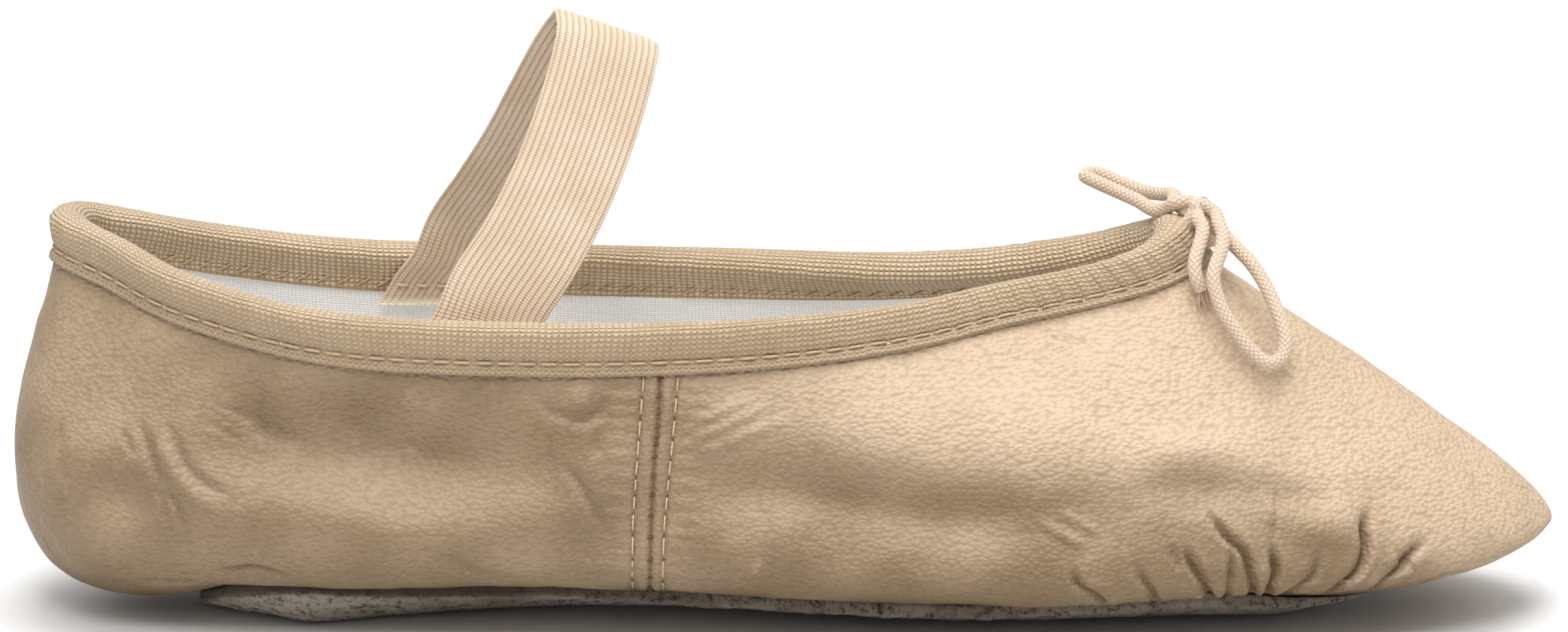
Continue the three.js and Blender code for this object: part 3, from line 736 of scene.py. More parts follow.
class SlipperColours(bpy.types.PropertyGroup):
    """The slipper's colours."""

    leather: colour_property("Leather", "Dyed leather", "#c9b094")
    leather_shade: colour_property("Leather shade", "Its darker patches", "#bca282")
    # Dirt with painted shade, low on the sides and where the leather faces down.
    leather_dirt_and_shade: colour_property("Leather dirt", "Grey-brown dirt low on the sides", "#806a4c")
    # Painted shade in the bottoms of its creases and between the grain's pebbles.
    leather_fold_shade: colour_property("Leather folds", "The bottoms of its creases", "#5c462e")
    seam_gap: colour_property("Seam gap", "The dark gap of the side seams", "#6a4f37")
    lining: colour_property("Lining", "White cotton lining", "#f6f4f1")
    lining_shade: colour_property("Lining shade", "Its greyer patches", "#eeebe6")
    canvas: colour_property("Binding", "Canvas binding", "#f4dab6")
    canvas_shade: colour_property("Binding shade", "Its darker patches", "#dfc29c")
    # Dirt with painted shade on the binding's outer face.
    canvas_dirt_and_shade: colour_property("Binding dirt", "Its outer face, which is the soiled one", "#ab9070")
    elastic: colour_property("Elastic", "Elastic strap", "#e0cdb6")
    elastic_shade: colour_property("Elastic shade", "Its darker patches", "#d6bea2")
    # Painted shade in the grooves between its ribs.
    elastic_groove_shade: colour_property("Elastic grooves", "The grooves between its ribs", "#a88767")
    elastic_raw: colour_property("Elastic end", "Its raw cut end", "#f3e9cf")
    cord: colour_property("Drawstring", "Braided drawstring", "#dcc6b0")
    # Painted shade between the plaits.
    cord_shade: colour_property("Drawstring shade", "Between its plaits", "#b8977a")
    suede: colour_property("Suede", "Suede of the outsole", "#d8ccb8")
    suede_shade: colour_property("Suede shade", "Its darker patches", "#ae9f88")
    suede_speck: colour_property("Suede specks", "Its dark specks", "#4c3e30")
    # The raw cut edge's colour, with painted shadow from the leather over it.
    cut_edge_and_shadow: colour_property("Suede edge", "Its raw cut edge", "#5b4939")
    insole: colour_property("Insole", "Cotton insole", "#e9e3d8")
    topstitch: colour_property("Topstitch", "Thread of the side seams", "#d8bda0")
    seam_thread: colour_property("Seam thread", "Thread across the gap of the side seams", "#6b4a33")
    tape_stitch: colour_property("Binding stitch", "Thread of the binding", "#c6ab8b")
    floor: colour_property("Floor", "Plain pale floor", "#e4e4e4")


# The drawstring

CORD_STEPS, CORD_SIDES = 260, 16
WRAP_STEPS, WRAP_SIDES = 60, 14
FRAY_THREADS = 11
FRAY_TURN = 2.4  # radians from one loose thread to the next, so that they spread evenly


def knot_middle():
    u, t = np.array([0.5]), np.array([1.0])
    stand = TAPE_OFFSET + CASING_SWELL + CLEARANCE + KNOT_HEIGHT / 2
    return under(wall, u, t, np.array([-stand]))[0]


def cord_route(side, loop, end):
    """A cord's way from its casing hole through the knot, round its loop and through the knot to its end."""
    out = normal_of(wall, np.array([0.5]), np.array([1.0]))[0]
    hole = -out * (KNOT_HEIGHT / 2 + 0.9) + np.array([0, 1.7 * side, -0.4])
    rise = -out * 1.2 + np.array([0.2, 1.5 * side, 0.1])
    turn = np.array([0.5 * -side, 0.5 * side, 0.9])
    back = np.array([0.6 * -side, 0.2 * side, -0.6])
    return [hole, rise, turn, *loop, back, *end]


def frayed_tip(tip):
    """The loose threads below the cut end of the near cord."""
    count = np.arange(FRAY_THREADS)
    angle = count * FRAY_TURN
    spread = np.stack([np.cos(angle) * 0.9 + 0.3, np.sin(angle) * 0.7, -1.6 - 0.22 * count * 1.3], -1)
    roots = tip + spread * [0.5, 0.5, 0] + [0, 0, 0.3]
    ways = unit(np.stack([np.sin(angle), np.cos(angle), 0 * angle], -1))
    return stitches("frayed_cord_tip", roots, tip + spread * [1.3, 1.3, 1], ways, 0.13, 0.45, 0)


class SLIPPER_OT_drawstring(bpy.types.Operator):
    """Make the drawstring: the knot, its two loops and its two ends"""

    bl_idname = "slipper.drawstring"
    bl_label = "Drawstring"

    def execute(self, context):
        braid = braid_material()
        middle = knot_middle()
        radius = CORD_DIAMETER / 2
        fray = finish_piece(frayed_tip(np.array(NEAR_END[-1]) + middle), braid, "drawstring_cord")
        for name, side, loop, end, nodes in (
            ("near_drawstring", -1, NEAR_LOOP, NEAR_END, ("bow_near_loop", "bow_near_end")),
            ("far_drawstring", 1, FAR_LOOP, FAR_END, ("bow_far_loop", "bow_far_end")),
        ):
            path = open_line(cord_route(side, loop, end), CORD_STEPS) + middle
            piece = finish_piece(add_cord(name, path, radius, CORD_SIDES), braid, "drawstring_cord", *nodes)
            length = float(lengths_along(path, 0, False)[-1])
        # The cord goes round the knot 1.3 times.
        angle = np.linspace(-0.15, 1.15, WRAP_STEPS) * 2 * math.pi
        wrap = np.stack([np.linspace(-1.1, 1.3, WRAP_STEPS), 1.4 * np.cos(angle), 1.1 * np.sin(angle)], -1)
        turned = add_cord("knot_wrap", wrap + middle, radius * 0.9, WRAP_SIDES)
        finish_piece(turned, braid, "drawstring_cord", "bow_knot")
        return {"FINISHED"}


# The leather upper

# A side seam's gap, then its row of topstitches behind and its row in front, as (along, up).
SEAMS = {
    -1: (
        [(-18.6, 45.5), (-19, 37), (-19.5, 32), (-20.1, 22), (-20.4, 11), (-20.6, 5)],
        [(-21.2, 43.5), (-22.1, 32), (-22.8, 22), (-23.1, 8.5)],
        [(-16, 43.5), (-17, 32), (-18, 22), (-18.5, 8.5)],
    ),
    1: (
        [(-22.5, 45.5), (-22, 30), (-21.6, 16), (-21.4, 5)],
        [(-25, 43.5), (-24.6, 30), (-24.2, 16), (-24, 8.5)],
        [(-20, 43.5), (-19.5, 30), (-19.2, 16), (-19, 8.5)],
    ),
}

# The folds of one side, seen from that side: the line's points as (along, up), its width, its depth, which
# is below zero for a trough and above it for a ridge, and the lips beside it, as a share of the depth.
NEAR_FOLDS = [
    # The quarter's long hollow, the bulge under it and the round bump at its rear end.
    ([(-90, 34), (-78, 33), (-68, 32), (-57, 31), (-47, 30), (-34, 29.5)], 6.5, -3.6, 0),
    ([(-86, 40), (-70, 38.5), (-55, 37), (-42, 36.5)], 4, -1, 0),
    ([(-88, 23), (-72, 21), (-56, 20.3), (-42, 20.5), (-28, 22)], 5.5, 1.5, 0),
    ([(-80, 39), (-75, 38.5), (-70, 38.5)], 4.2, 1.4, 0),
    ([(-86, 40), (-82, 37), (-79, 34.5), (-75.5, 33.5), (-72, 33.7)], 1.8, -0.6, 0.2),
    ([(-87.7, 39), (-80.7, 35.5)], 0.6, -0.32, 0.5),
    ([(-88.3, 37.6), (-81.5, 34.2)], 0.6, -0.28, 0.5),
    ([(-89, 36.2), (-82.5, 32.9)], 0.6, -0.28, 0.5),
    # Low on the quarter.
    ([(-87.5, 12), (-84, 12.5), (-80.5, 13), (-78, 12.3), (-74.3, 10.8)], 0.78, -0.74, 0.5),
    ([(-99, 8.8), (-96, 9.2), (-91, 9.3)], 0.78, -0.55, 0.5),
    ([(-56, 17.3), (-50, 14.7), (-45, 12.6), (-40, 11.8)], 1.4, -0.64, 0.4),
    ([(-70, 15), (-62, 14.5)], 2.5, 0.4, 0),
    # The heel: a thin fold at the back, a smooth hollow and the fan of wrinkles in front of it.
    ([(-110.5, 35), (-110.9, 29), (-110.8, 24)], 1.1, -0.32, 0.5),
    ([(-111.5, 22.5), (-108, 21)], 0.62, -0.37, 0.5),
    ([(-111, 20.8), (-107.5, 19.5)], 0.62, -0.37, 0.5),
    ([(-107, 24.5), (-101, 22.5), (-95, 21.5)], 4, -1.2, 0),
    ([(-96, 37), (-94.5, 32), (-93.3, 29), (-91.8, 26.5), (-88.4, 23.3), (-83.6, 21.5)], 1.17, 0.55, 0),
    ([(-98.2, 36.5), (-96.7, 31.5), (-95.4, 28), (-94, 25)], 0.86, -0.5, 0.4),
    ([(-93.6, 36), (-92, 31.5), (-90.6, 28.8), (-87.5, 26), (-83, 24.5)], 0.94, -0.5, 0.4),
    ([(-96.2, 26.5), (-94.6, 23.5), (-94, 19.5)], 0.7, -0.34, 0.6),
    ([(-94.3, 25.7), (-92.4, 22.7), (-91.5, 18.5)], 0.62, -0.46, 0.6),
    ([(-100.5, 34), (-99.3, 30)], 0.62, -0.37, 0.6),
    # Before the side seam: the smile round a pebbly bump, and the long fold under it.
    ([(-37, 41), (-35.5, 38.8), (-32.7, 37.6), (-30, 37.2), (-28, 38.2), (-26.2, 41)], 1.1, -0.45, 0.4),
    ([(-33, 40), (-31, 39.8), (-29, 40)], 2.6, 0.6, 0),
    ([(-34.5, 31), (-32, 29), (-30, 26), (-28.8, 23.4), (-25.7, 18.5)], 0.9, -0.5, 0.5),
    ([(-28.3, 36), (-28.3, 31)], 0.78, -0.37, 0.3),
    # In front of the side seam.
    ([(-16, 33), (-8, 36.6), (-1, 39.5)], 0.78, 0.37, 0),
    ([(-15.5, 35.4), (-9, 38.4), (-4, 40.3)], 0.78, 0.37, 0),
    ([(-15, 31), (-8, 33.8), (0, 37)], 0.78, 0.32, 0),
    ([(-14, 37), (2, 36.5), (20, 36), (36, 35), (50, 34)], 6.5, 0.8, 0),
    ([(-17, 27), (-4, 26.5), (12, 26), (24, 26)], 5, -1.5, 0),
    ([(0, 24), (14, 23), (30, 23), (46, 23), (62, 24.5)], 5.5, -1.7, 0),
    ([(39, 47.6), (43, 46.6), (47.5, 46)], 0.62, -0.32, 0.5),
    ([(40, 45.6), (44, 44.9)], 0.62, -0.28, 0.5),
    ([(38, 23.5), (42, 21), (46, 19.2)], 0.7, 0.46, 0),
    ([(41, 25), (45, 22.5), (48, 21.6)], 0.7, 0.41, 0),
    # The toe's pleats, from the front of the arch to the tip.
    ([(43, 16), (44.5, 13.3), (47.3, 11.5), (49, 9.5)], 0.7, -0.92, 0.5),
    ([(53, 16), (55.2, 12.6), (56.5, 9.5)], 0.7, -0.83, 0.5),
    ([(58.2, 19), (60, 15)], 0.78, -0.46, 0.4),
    ([(60, 19), (61.8, 15.7), (63.8, 12.2), (65, 9)], 0.78, -1.2, 0.5),
    (
        [(63, 24.8), (65.2, 22), (67, 19.8), (69.3, 17.8), (70, 16), (70.6, 14), (71, 11.8), (71, 9)],
        0.72, -1.2, 0.4,
    ),
    ([(67.6, 19), (67.5, 15.5), (67.2, 12), (67, 9.5)], 0.6, -0.7, 0.4),
    ([(73.6, 19), (74, 16.6), (74.4, 15), (74.3, 13.3), (73.6, 11.7), (73, 9)], 0.78, -1.38, 0.5),
    ([(75.3, 27), (74.6, 22.5), (73.7, 18.5)], 0.7, -0.32, 0.4),
    ([(81, 18.5), (80.3, 13.5), (78.7, 12), (76.4, 10.2), (75.8, 8.5)], 0.94, -0.83, 0.4),
    (
        [
            (90, 24.5), (89, 21.5), (88.2, 19.8), (88.5, 17.8), (88.2, 15.5), (87.2, 13.4), (85.5, 12),
            (83.5, 10.6), (81.5, 8.8),
        ],
        0.85, -1.5, 0.4,
    ),
    ([(98.8, 18), (97, 16.2), (95.7, 15.3), (94.7, 14), (93, 12.5), (91, 11), (89, 9.2)], 0.85, -1.2, 0.4),
    ([(95.6, 14.6), (94, 13.2)], 1.56, -0.83, 0),
    ([(104.5, 11), (101.3, 10.9), (99, 10.3), (96, 9)], 0.78, -0.92, 0.5),
    ([(88.6, 30.5), (88.4, 24)], 0.62, 0.32, 0),
    ([(90.6, 30.8), (90.6, 24)], 0.62, 0.32, 0),
    ([(92.7, 30), (92.8, 24)], 0.62, 0.28, 0),
    ([(52, 27), (60, 27), (67, 26), (74, 24)], 3.2, -1.1, 0),
    ([(70, 26), (77, 25), (84, 23)], 2.6, -0.9, 0),
    ([(76, 20.3), (82, 20), (88, 20.6)], 3, 0.9, 0),
    ([(70, 38), (74, 37.5), (77, 40), (78, 42)], 1.25, -0.55, 0.2),
    ([(54, 31), (64, 32), (76, 31)], 4, 1.1, 0),
]
FAR_FOLDS = [
    ([(-84, 32), (-66, 31), (-48, 29)], 6, -1.6, 0),
    ([(-80, 21), (-60, 20), (-42, 21)], 6, 0.9, 0),
    ([(-97, 35), (-94, 28), (-90, 23)], 1.01, -0.74, 0.5),
    ([(-101, 33), (-98, 27), (-96, 21)], 0.86, -0.55, 0.5),
    ([(-60, 39), (-54, 35), (-47, 34)], 0.94, -0.64, 0.5),
    ([(-38, 38), (-34, 32), (-31, 25)], 0.86, -0.74, 0.5),
    ([(-10, 27), (4, 26), (16, 27)], 3.6, -1, 0),
    ([(24, 25), (36, 23), (48, 24)], 3.6, -1, 0),
    ([(36, 17), (38.5, 13), (41, 9)], 0.78, -0.83, 0.5),
    ([(48, 17), (50.5, 13), (53, 9)], 0.78, -0.92, 0.5),
    ([(57, 21), (60, 16), (61.5, 9)], 0.86, -1.29, 0.5),
    ([(66, 20), (68, 15), (68.6, 9)], 0.86, -1.2, 0.5),
    ([(73, 24), (76, 18), (76.4, 9)], 0.94, -1.38, 0.5),
    ([(84, 21), (84, 15), (81, 9)], 1.01, -1.66, 0.5),
    ([(92, 19), (90.5, 14), (87, 9)], 0.94, -1.38, 0.5),
    ([(99, 15), (96.5, 12), (93.5, 9)], 0.86, -1.1, 0.5),
]

UPPER_PLACES = 900
FLANGE_ROWS, LOWER_ROWS, WALL_ROWS = 4, 36, 58
# The rows of the leather's face that its back keeps.
BACK_ROWS = [0, 4, 10, 18, 26, 34, 44, 56, 68, 80, FLANGE_ROWS + LOWER_ROWS + WALL_ROWS]
LEATHER = 0.8  # millimetres of leather, and then the gap to the cotton's back
CLOTH_BACK = 0.95
LINING_GLOW = 0.28
SEAM_X = -20
SEAM_REACH = 20
SEAM_STITCHES = 11
SEAM_CROSSES = 18
# Narrow folds get painted shade in their bottoms.
DARK_WIDTH = 1.2  # folds narrower than this have a dark bottom
BROAD_WIDTH = 2.5  # and folds broader than this fade along their whole length
PUCKER_SPACING = 2.5
SOLE_EDGE = 10  # a fold that ends lower than this runs on under the sole


def bell(distance, width):
    return np.exp(-((distance / width) ** 2))


def on_hide(points, normals, line, count):
    """Places on the leather, with their normals, for a line of (along, up) points seen from one side."""
    flat = open_line([(x, 0, z) for x, z in line], count)
    picked = []
    for x, _, z in flat:
        distance = (points[:, 0] - x) ** 2 + (points[:, 2] - z) ** 2
        nearest = np.argpartition(distance, 4)[:4]
        weight = 1 / (distance[nearest] + 0.01)
        weight = (weight / weight.sum())[:, None]
        picked.append(((points[nearest] * weight).sum(0), (normals[nearest] * weight).sum(0)))
    return np.array([p for p, _ in picked]), unit(np.array([n for _, n in picked]))


def from_line(points, line):
    """Each point's distance from a line, and how far along the line it is."""
    best = np.full(len(points), 1e9)
    share = np.zeros(len(points))
    for i in range(len(line) - 1):
        a, b = line[i], line[i + 1]
        way = b - a
        s = np.clip((points - a) @ way / max(float(way @ way), 1e-9), 0, 1)
        distance = np.linalg.norm(points - a - s[:, None] * way, axis=-1)
        closer = distance < best
        best = np.where(closer, distance, best)
        share = np.where(closer, (i + s) / (len(line) - 1), share)
    return best, share


def press_fold(points, normals, side, fold, relief, shade):
    """Adds one fold to the relief of one side, and paints shade into the bottom of a narrow one."""
    line, width, depth, lips = fold
    reach = 3.2 * width + 2
    corners = np.array(line)
    low, high = corners.min(0) - reach, corners.max(0) + reach
    close = side & (points[..., 0] > low[0]) & (points[..., 0] < high[0])
    close &= (points[..., 2] > low[1]) & (points[..., 2] < high[1])
    pool = points[close]
    distance, share = from_line(pool, on_hide(pool, normals[close], line, 6 * len(line))[0])
    fade = smooth(0, 0.3, share) * smooth(1, 0.75, share)
    if width > BROAD_WIDTH:
        fade = np.sin(math.pi * share) ** 0.8
    elif line[-1][1] < SOLE_EDGE:
        fade = smooth(0, 0.3, share)
    relief[close] += depth * fade * ((1 + lips) * bell(distance, width) - lips * bell(distance, 2.1 * width))
    # Painted shade in the bottom of a narrow trough.
    if depth < 0 and width < DARK_WIDTH:
        dark = min(1, max(0, -depth - 0.3) / 0.6) * fade * bell(distance, 0.5 * width)
        shade[close] = np.maximum(shade[close], dark)


def close_places(count, dense):
    """Shares around the shoe, closer where dense, a function of the points along it, says so."""
    fine = np.linspace(0, 1, 6001)
    line = at(WIDEST_LINE, fine)
    middle = (line[1:] + line[:-1]) / 2
    speed = np.linalg.norm(np.diff(line, axis=0), axis=-1) * dense(middle)
    total = np.concatenate([[0], np.cumsum(speed)])
    return np.interp(np.arange(count) / count * total[-1], total, fine)


def evenly(points):
    return np.ones(len(points))


def where_creased(points):
    """The leather's mesh is closest at the side seams and the toe's pleats, and closer on the near side."""
    x, y = points[:, 0], points[:, 1]
    near = smooth(8, -8, y)
    return (0.6 + 0.55 * near) * (1 + 1.6 * bell(x - SEAM_X, 5) + (0.35 + 0.6 * near) * smooth(38, 60, x))


def upper_grid(places):
    """The upper's outer face on a grid, from the margin on the sole up to the collar, and its normals."""
    u = places[:, None]
    stretches = []
    for surface, count in ((flange, FLANGE_ROWS), (lower_wall, LOWER_ROWS), (wall, WALL_ROWS)):
        last = 1 if surface is wall else 0
        t = np.linspace(0, 1, count + 1)[None, : count + last]
        stretches.append(surface(*np.broadcast_arrays(u, t)))
    points = np.concatenate(stretches, 1)
    along = np.roll(points, -1, 0) - np.roll(points, 1, 0)
    return points, unit(np.cross(along, np.gradient(points, axis=1)))


def lowest_near(relief, reach):
    """The lowest relief within a reach of grid steps, a little smoothed, for the layers behind."""
    low = relief
    for _ in range(reach):
        low = np.minimum(low, np.minimum(np.roll(low, 1, 0), np.roll(low, -1, 0)))
        padded = np.pad(low, ((0, 0), (1, 1)), "edge")
        low = np.minimum(low, np.minimum(padded[:, 2:], padded[:, :-2]))
    for _ in range(2 * reach):
        padded = np.pad(low, ((0, 0), (1, 1)), "edge")
        low = (2 * low + np.roll(low, 1, 0) + np.roll(low, -1, 0) + padded[:, 2:] + padded[:, :-2]) / 6
    return low


def crease(points, normals, row):
    """The relief of the folds and the side seams, the painted shade in the folds' bottoms and along the
    topstitch rows, and the seams' gaps.
    """
    x, y = points[..., 0], points[..., 1]
    folds, shade, seam = np.zeros(x.shape), np.zeros(x.shape), np.zeros(x.shape)
    for side, table in ((-1, NEAR_FOLDS), (1, FAR_FOLDS)):
        facing = (y * side > 0) & (row >= FLANGE_ROWS)
        for fold in table:
            press_fold(points, normals, facing, fold, folds, shade)
    for side, lines in SEAMS.items():
        facing = by_seam(points, row, side, y)
        pool, ways = points[facing], normals[facing]
        gap, behind, ahead = (from_line(pool, on_hide(pool, ways, line, 40)[0])[0] for line in lines)
        up, off = pool[:, 2], pool[:, 0] - SEAM_X
        wave = up * 2 * math.pi / PUCKER_SPACING + off * 0.22 + 1.6 * np.sin(up / 3)
        pull = bell(np.abs(gap) - 5.2, 2.6) * np.sin(wave) * smooth(1.2, 3, gap)
        folds[facing] += 0.1 * pull - 0.4 * bell(gap, 0.5) + 0.14 * bell(gap - 1.1, 0.7)
        folds[facing] -= 0.3 * (bell(behind, 0.6) + bell(ahead, 0.6))
        seam[facing] = np.maximum(seam[facing], bell(gap, 0.28))
        # Painted shade along the sunk rows of topstitches.
        shade[facing] = np.maximum(shade[facing], 0.35 * (bell(behind, 0.4) + bell(ahead, 0.4)))
    return folds, np.clip(shade, 0, 1), seam


def by_seam(points, row, side, y):
    """Which points of the leather's grid lie near one side's seam."""
    return (y * side > 0) & (row >= FLANGE_ROWS) & (np.abs(points[..., 0] - SEAM_X) < SEAM_REACH)


def soil_and_shade(points, outside):
    """How much dirt and painted shade the leather gets: painted shade where it faces down and low down ahead of
    the seam, darker behind the seam and in blotches near the sole, and one stain.
    """
    x, z = points[..., 0], points[..., 2]
    blotch = 0.5 + 0.5 * ripple(points, 9, 11)
    formed = np.cross(np.roll(outside, -1, 0) - np.roll(outside, 1, 0), np.gradient(outside, axis=1))
    facing_up = unit(formed)[..., 2]
    ahead_of_seam = smooth(-30, 45, x)
    from_toe = z + 0.007 * np.maximum(0, x - 50) ** 2
    # Painted shade low down ahead of the seam and where the leather faces down; darker all over behind the
    # seam.
    painted_shade_and_darkening = 0.58 * ahead_of_seam * smooth(34, 25, from_toe) + 0.42 * (1 - ahead_of_seam)
    painted_shade_and_darkening += 0.42 * smooth(0.7, 0, facing_up)
    # Darker in blotches near the sole.
    blotches_near_sole = 0.45 * smooth(10, 4, z) * smooth(0.2, 0.8, blotch)
    stain = 0.5 * bell(x + 70, 3) * bell(z - 48, 2)
    return np.clip(painted_shade_and_darkening * (0.85 + 0.3 * blotch) + blotches_near_sole + stain, 0, 1)


class SLIPPER_OT_upper(bpy.types.Operator):
    """Make the leather upper with its folds, pleats and side seams, and the cotton lining behind it"""

    bl_idname = "slipper.upper"
    bl_label = "Leather upper and lining"

    def execute(self, context):
        points, normals = upper_grid(close_places(UPPER_PLACES, where_creased))
        row = np.broadcast_to(np.arange(points.shape[1]), points.shape[:2])
        below = np.linalg.norm(points - points[:, -1:], axis=-1)
        lumps = 0.3 * ripple(points, 15, 3) + 0.14 * ripple(points, 5.5, 4) + 0.05 * ripple(points, 2.4, 5)
        folds, shade, seam = crease(points, normals, row)
        # The leather lies flat under the binding and on the sole.
        calm = smooth(2.5, 9, below) * smooth(FLANGE_ROWS - 1, FLANGE_ROWS + 4, row)
        relief = calm * (lumps + folds * context.scene.slipper_sizes.crease)
        outside = points + normals * relief[..., None]
        behind = lowest_near(relief, 3)
        inside = (points + normals * (np.minimum(behind, relief) - LEATHER)[..., None])[:, BACK_ROWS[::-1]]
        # The mesh's colour marks: dirt with painted shade, painted shade in the creases, and the seams' dark
        # gaps.
        looks = {"dirt_and_shade": soil_and_shade(points, outside), "painted_crease_shade": shade * calm, "seam": seam * smooth(4, 6, below)}
        nothing = np.zeros(inside.shape[:-1])
        values = {key: np.concatenate([value, nothing], 1) for key, value in looks.items()}
        hide = around_mesh("leather_upper", np.concatenate([outside, inside], 1), values)
        finish_piece(hide, leather_material(), "upper_leather", "upper")
        self.sew_seams(outside, normals, points[..., 1], row, context.scene.slipper_colours)
        self.line(points, normals, below, behind)
        return {"FINISHED"}

    def line(self, points, normals, below, behind):
        """The cotton lining: soft and white, it follows the leather's hollows."""
        colours, sizes = bpy.context.scene.slipper_colours, bpy.context.scene.slipper_sizes
        base, ways, near_cloth, from_edge = points[::2], normals[::2], np.minimum(behind, 0)[::2], below[::2]
        wrinkles = 0.16 * smooth(2, 9, from_edge) * (ripple(base, 12, 9) - 1)
        # A flat tape covers the far side's seam on the inside.
        x, y = base[..., 0], base[..., 1]
        tape = 0.4 * smooth(-25.5, -24.5, x) * smooth(-15.5, -16.5, x) * (y > 0)
        face = base + ways * (near_cloth + wrinkles - UPPER_WALL - tape)[..., None]
        back = base + ways * (near_cloth - CLOTH_BACK)[..., None]
        rings = np.concatenate([back[:, ::4], face[:, -1:], face[:, ::-2]], 1)
        thread = sizes.lining_thread / MM
        cloth = cotton_material(
            "white_cotton_lining", colours.lining, colours.lining_shade, thread, thread, 0.00028
        )
        # The lining gives off a little light, as the bright inside of the real shoe looks to.
        shader = cloth.node_tree.nodes["Principled BSDF"]
        shader.inputs["Emission Color"].default_value = colour(colours.lining)
        shader.inputs["Emission Strength"].default_value = LINING_GLOW
        finish_piece(around_mesh("cotton_lining", rings), cloth, "insole_cotton", "upper")

    def sew_seams(self, hide, normals, y, row, colours):
        """The two rows of topstitches of each side seam, brown thread sunk in their holes as painted shade, and
        the crossed threads in its gap.
        """
        rows, hole_shade, crosses = [], [], []
        for side, lines in SEAMS.items():
            facing = by_seam(hide, row, side, y)
            pool, ways = hide[facing], normals[facing]
            for line in lines[1:]:
                # Each stitch takes 6 of 8 steps; its hole takes the last one, where a sunk piece of brown
                # thread is painted shade.
                on_line, out = on_hide(pool, ways, line, 8 * SEAM_STITCHES)
                rows.append((on_line[0::8], on_line[6::8], out[4::8]))
                sunk = on_line - 0.1 * out
                hole_shade.append((sunk[7::8][:-1], sunk[8::8], out[7::8][:-1]))
            on_line, out = on_hide(pool, ways, lines[0], SEAM_CROSSES)
            along = unit(np.gradient(on_line, axis=0))
            reach = unit(np.cross(np.gradient(on_line, axis=0), out)) * 0.75 + along * 0.35
            crosses.append(((on_line - reach)[1:-2], (on_line + reach)[1:-2], out[1:-2]))
        tan = thread_material("pink_topstitch_thread", colours.topstitch)
        brown = thread_material("brown_seam_thread", colours.seam_thread)
        joined = [np.concatenate(part) for part in zip(*rows)]
        finish_piece(stitches("seam_topstitches", *joined, 0.14, 0.24), tan, "upper_leather")
        # The crossed threads, with the brown pieces that are painted shade in the topstitches' holes.
        joined = [np.concatenate(part) for part in zip(*crosses, *hole_shade)]
        finish_piece(stitches("seam_cross_stitches_and_hole_shade", *joined, 0.16, 0.2), brown, "upper_leather")


# The outsole and the insole

SOLE_PLACES, INSOLE_PLACES = 520, 300
# The shares from the middle line to the edge: few across the flat, then close together.
SOLE_SHARES = np.concatenate([[0, 0.12, 0.25, 0.36], np.linspace(0.46, 1, 34)])


class SLIPPER_OT_soles(bpy.types.Operator):
    """Make the suede outsole and the insole"""

    bl_idname = "slipper.soles"
    bl_label = "Outsole and insole"

    def execute(self, context):
        u, s = np.broadcast_arrays(close_places(SOLE_PLACES, evenly)[:, None], SOLE_SHARES[None, :])
        low = underside(u, s)
        high = over_sole(SOLE_THICKNESS)(u, s)
        fuzz = 0.2 * ripple(low, 2.6, 21) + 0.14 * ripple(low, 1.1, 22)
        curled = smooth(0.55, 0.8, s)
        low = low + np.stack([0 * fuzz, 0 * fuzz, fuzz * curled + 0.12 * curled], -1)
        # The suede is skived thin where it ends under the toe.
        low = mix(low, high, (0.75 * smooth(72, 92, low[..., 0]))[..., None])
        edge_mid = mix(low[:, -1:], high[:, -1:], np.array([0.33, 0.66])[None, :, None])
        rings = np.concatenate([low, edge_mid, high[:, ::-2]], 1)
        # The cut edge, with painted shadow from the leather over it, is darkest behind the middle of the shoe;
        # the underside's rim gets some of it.
        cut = np.ones((SOLE_PLACES, rings.shape[1] - s.shape[1]))
        edge = np.concatenate([0.7 * smooth(0.97, 1.0, s), cut], 1)
        edge *= 0.85 * (1 - 0.7 * smooth(-45, 5, rings[..., 0]))
        piece = around_mesh("suede_outsole", rings, {"cut_edge_and_shadow": edge}, loop=False)
        finish_piece(piece, suede_material(), "outsole_suede", "outsole")
        self.add_insole(context.scene.slipper_colours)
        return {"FINISHED"}

    def add_insole(self, colours):
        """The insole lies on the sole inside the turned-in margin, and on the margin around it."""
        places = close_places(INSOLE_PLACES, evenly)
        step = inset_share(places, LASTING_MARGIN + CLEARANCE)[:, None]
        rim = inset_share(places, INSOLE_INSET)[:, None]
        on_sole, on_margin = over_sole(FLANGE_HEIGHT), over_sole(INSOLE_HEIGHT)
        face = over_sole(INSOLE_HEIGHT + INSOLE_THICKNESS)
        rows = [(on_sole, step * share) for share in (0, 0.5, 1)] + [(on_margin, step), (on_margin, rim)]
        rows += [(face, rim * share) for share in np.linspace(0, 1, 16)[::-1]]
        rings = [surface(*np.broadcast_arrays(places[:, None], share)) for surface, share in rows]
        piece = around_mesh("felt_insole", np.concatenate(rings, 1), loop=False)
        shade = [c * 0.9 for c in colours.insole]
        cloth = cotton_material("felted_cotton_insole", colours.insole, shade, 0.8, 0.8, 0.0001)
        finish_piece(piece, cloth, "insole_cotton", "insole")


# The binding

BINDING_PLACES = 900
BINDING_ROWS = 26
SEAM_INSET = 1.9  # from the tape's lower edge up to its seam
PUCKER_LENGTH = 3.3
STITCH_SHARE = 0.8  # of each step along the seam; the rest is under the cloth
TOP_ANGLES = np.radians([15, 35, 60, 90, 120, 145, 165])


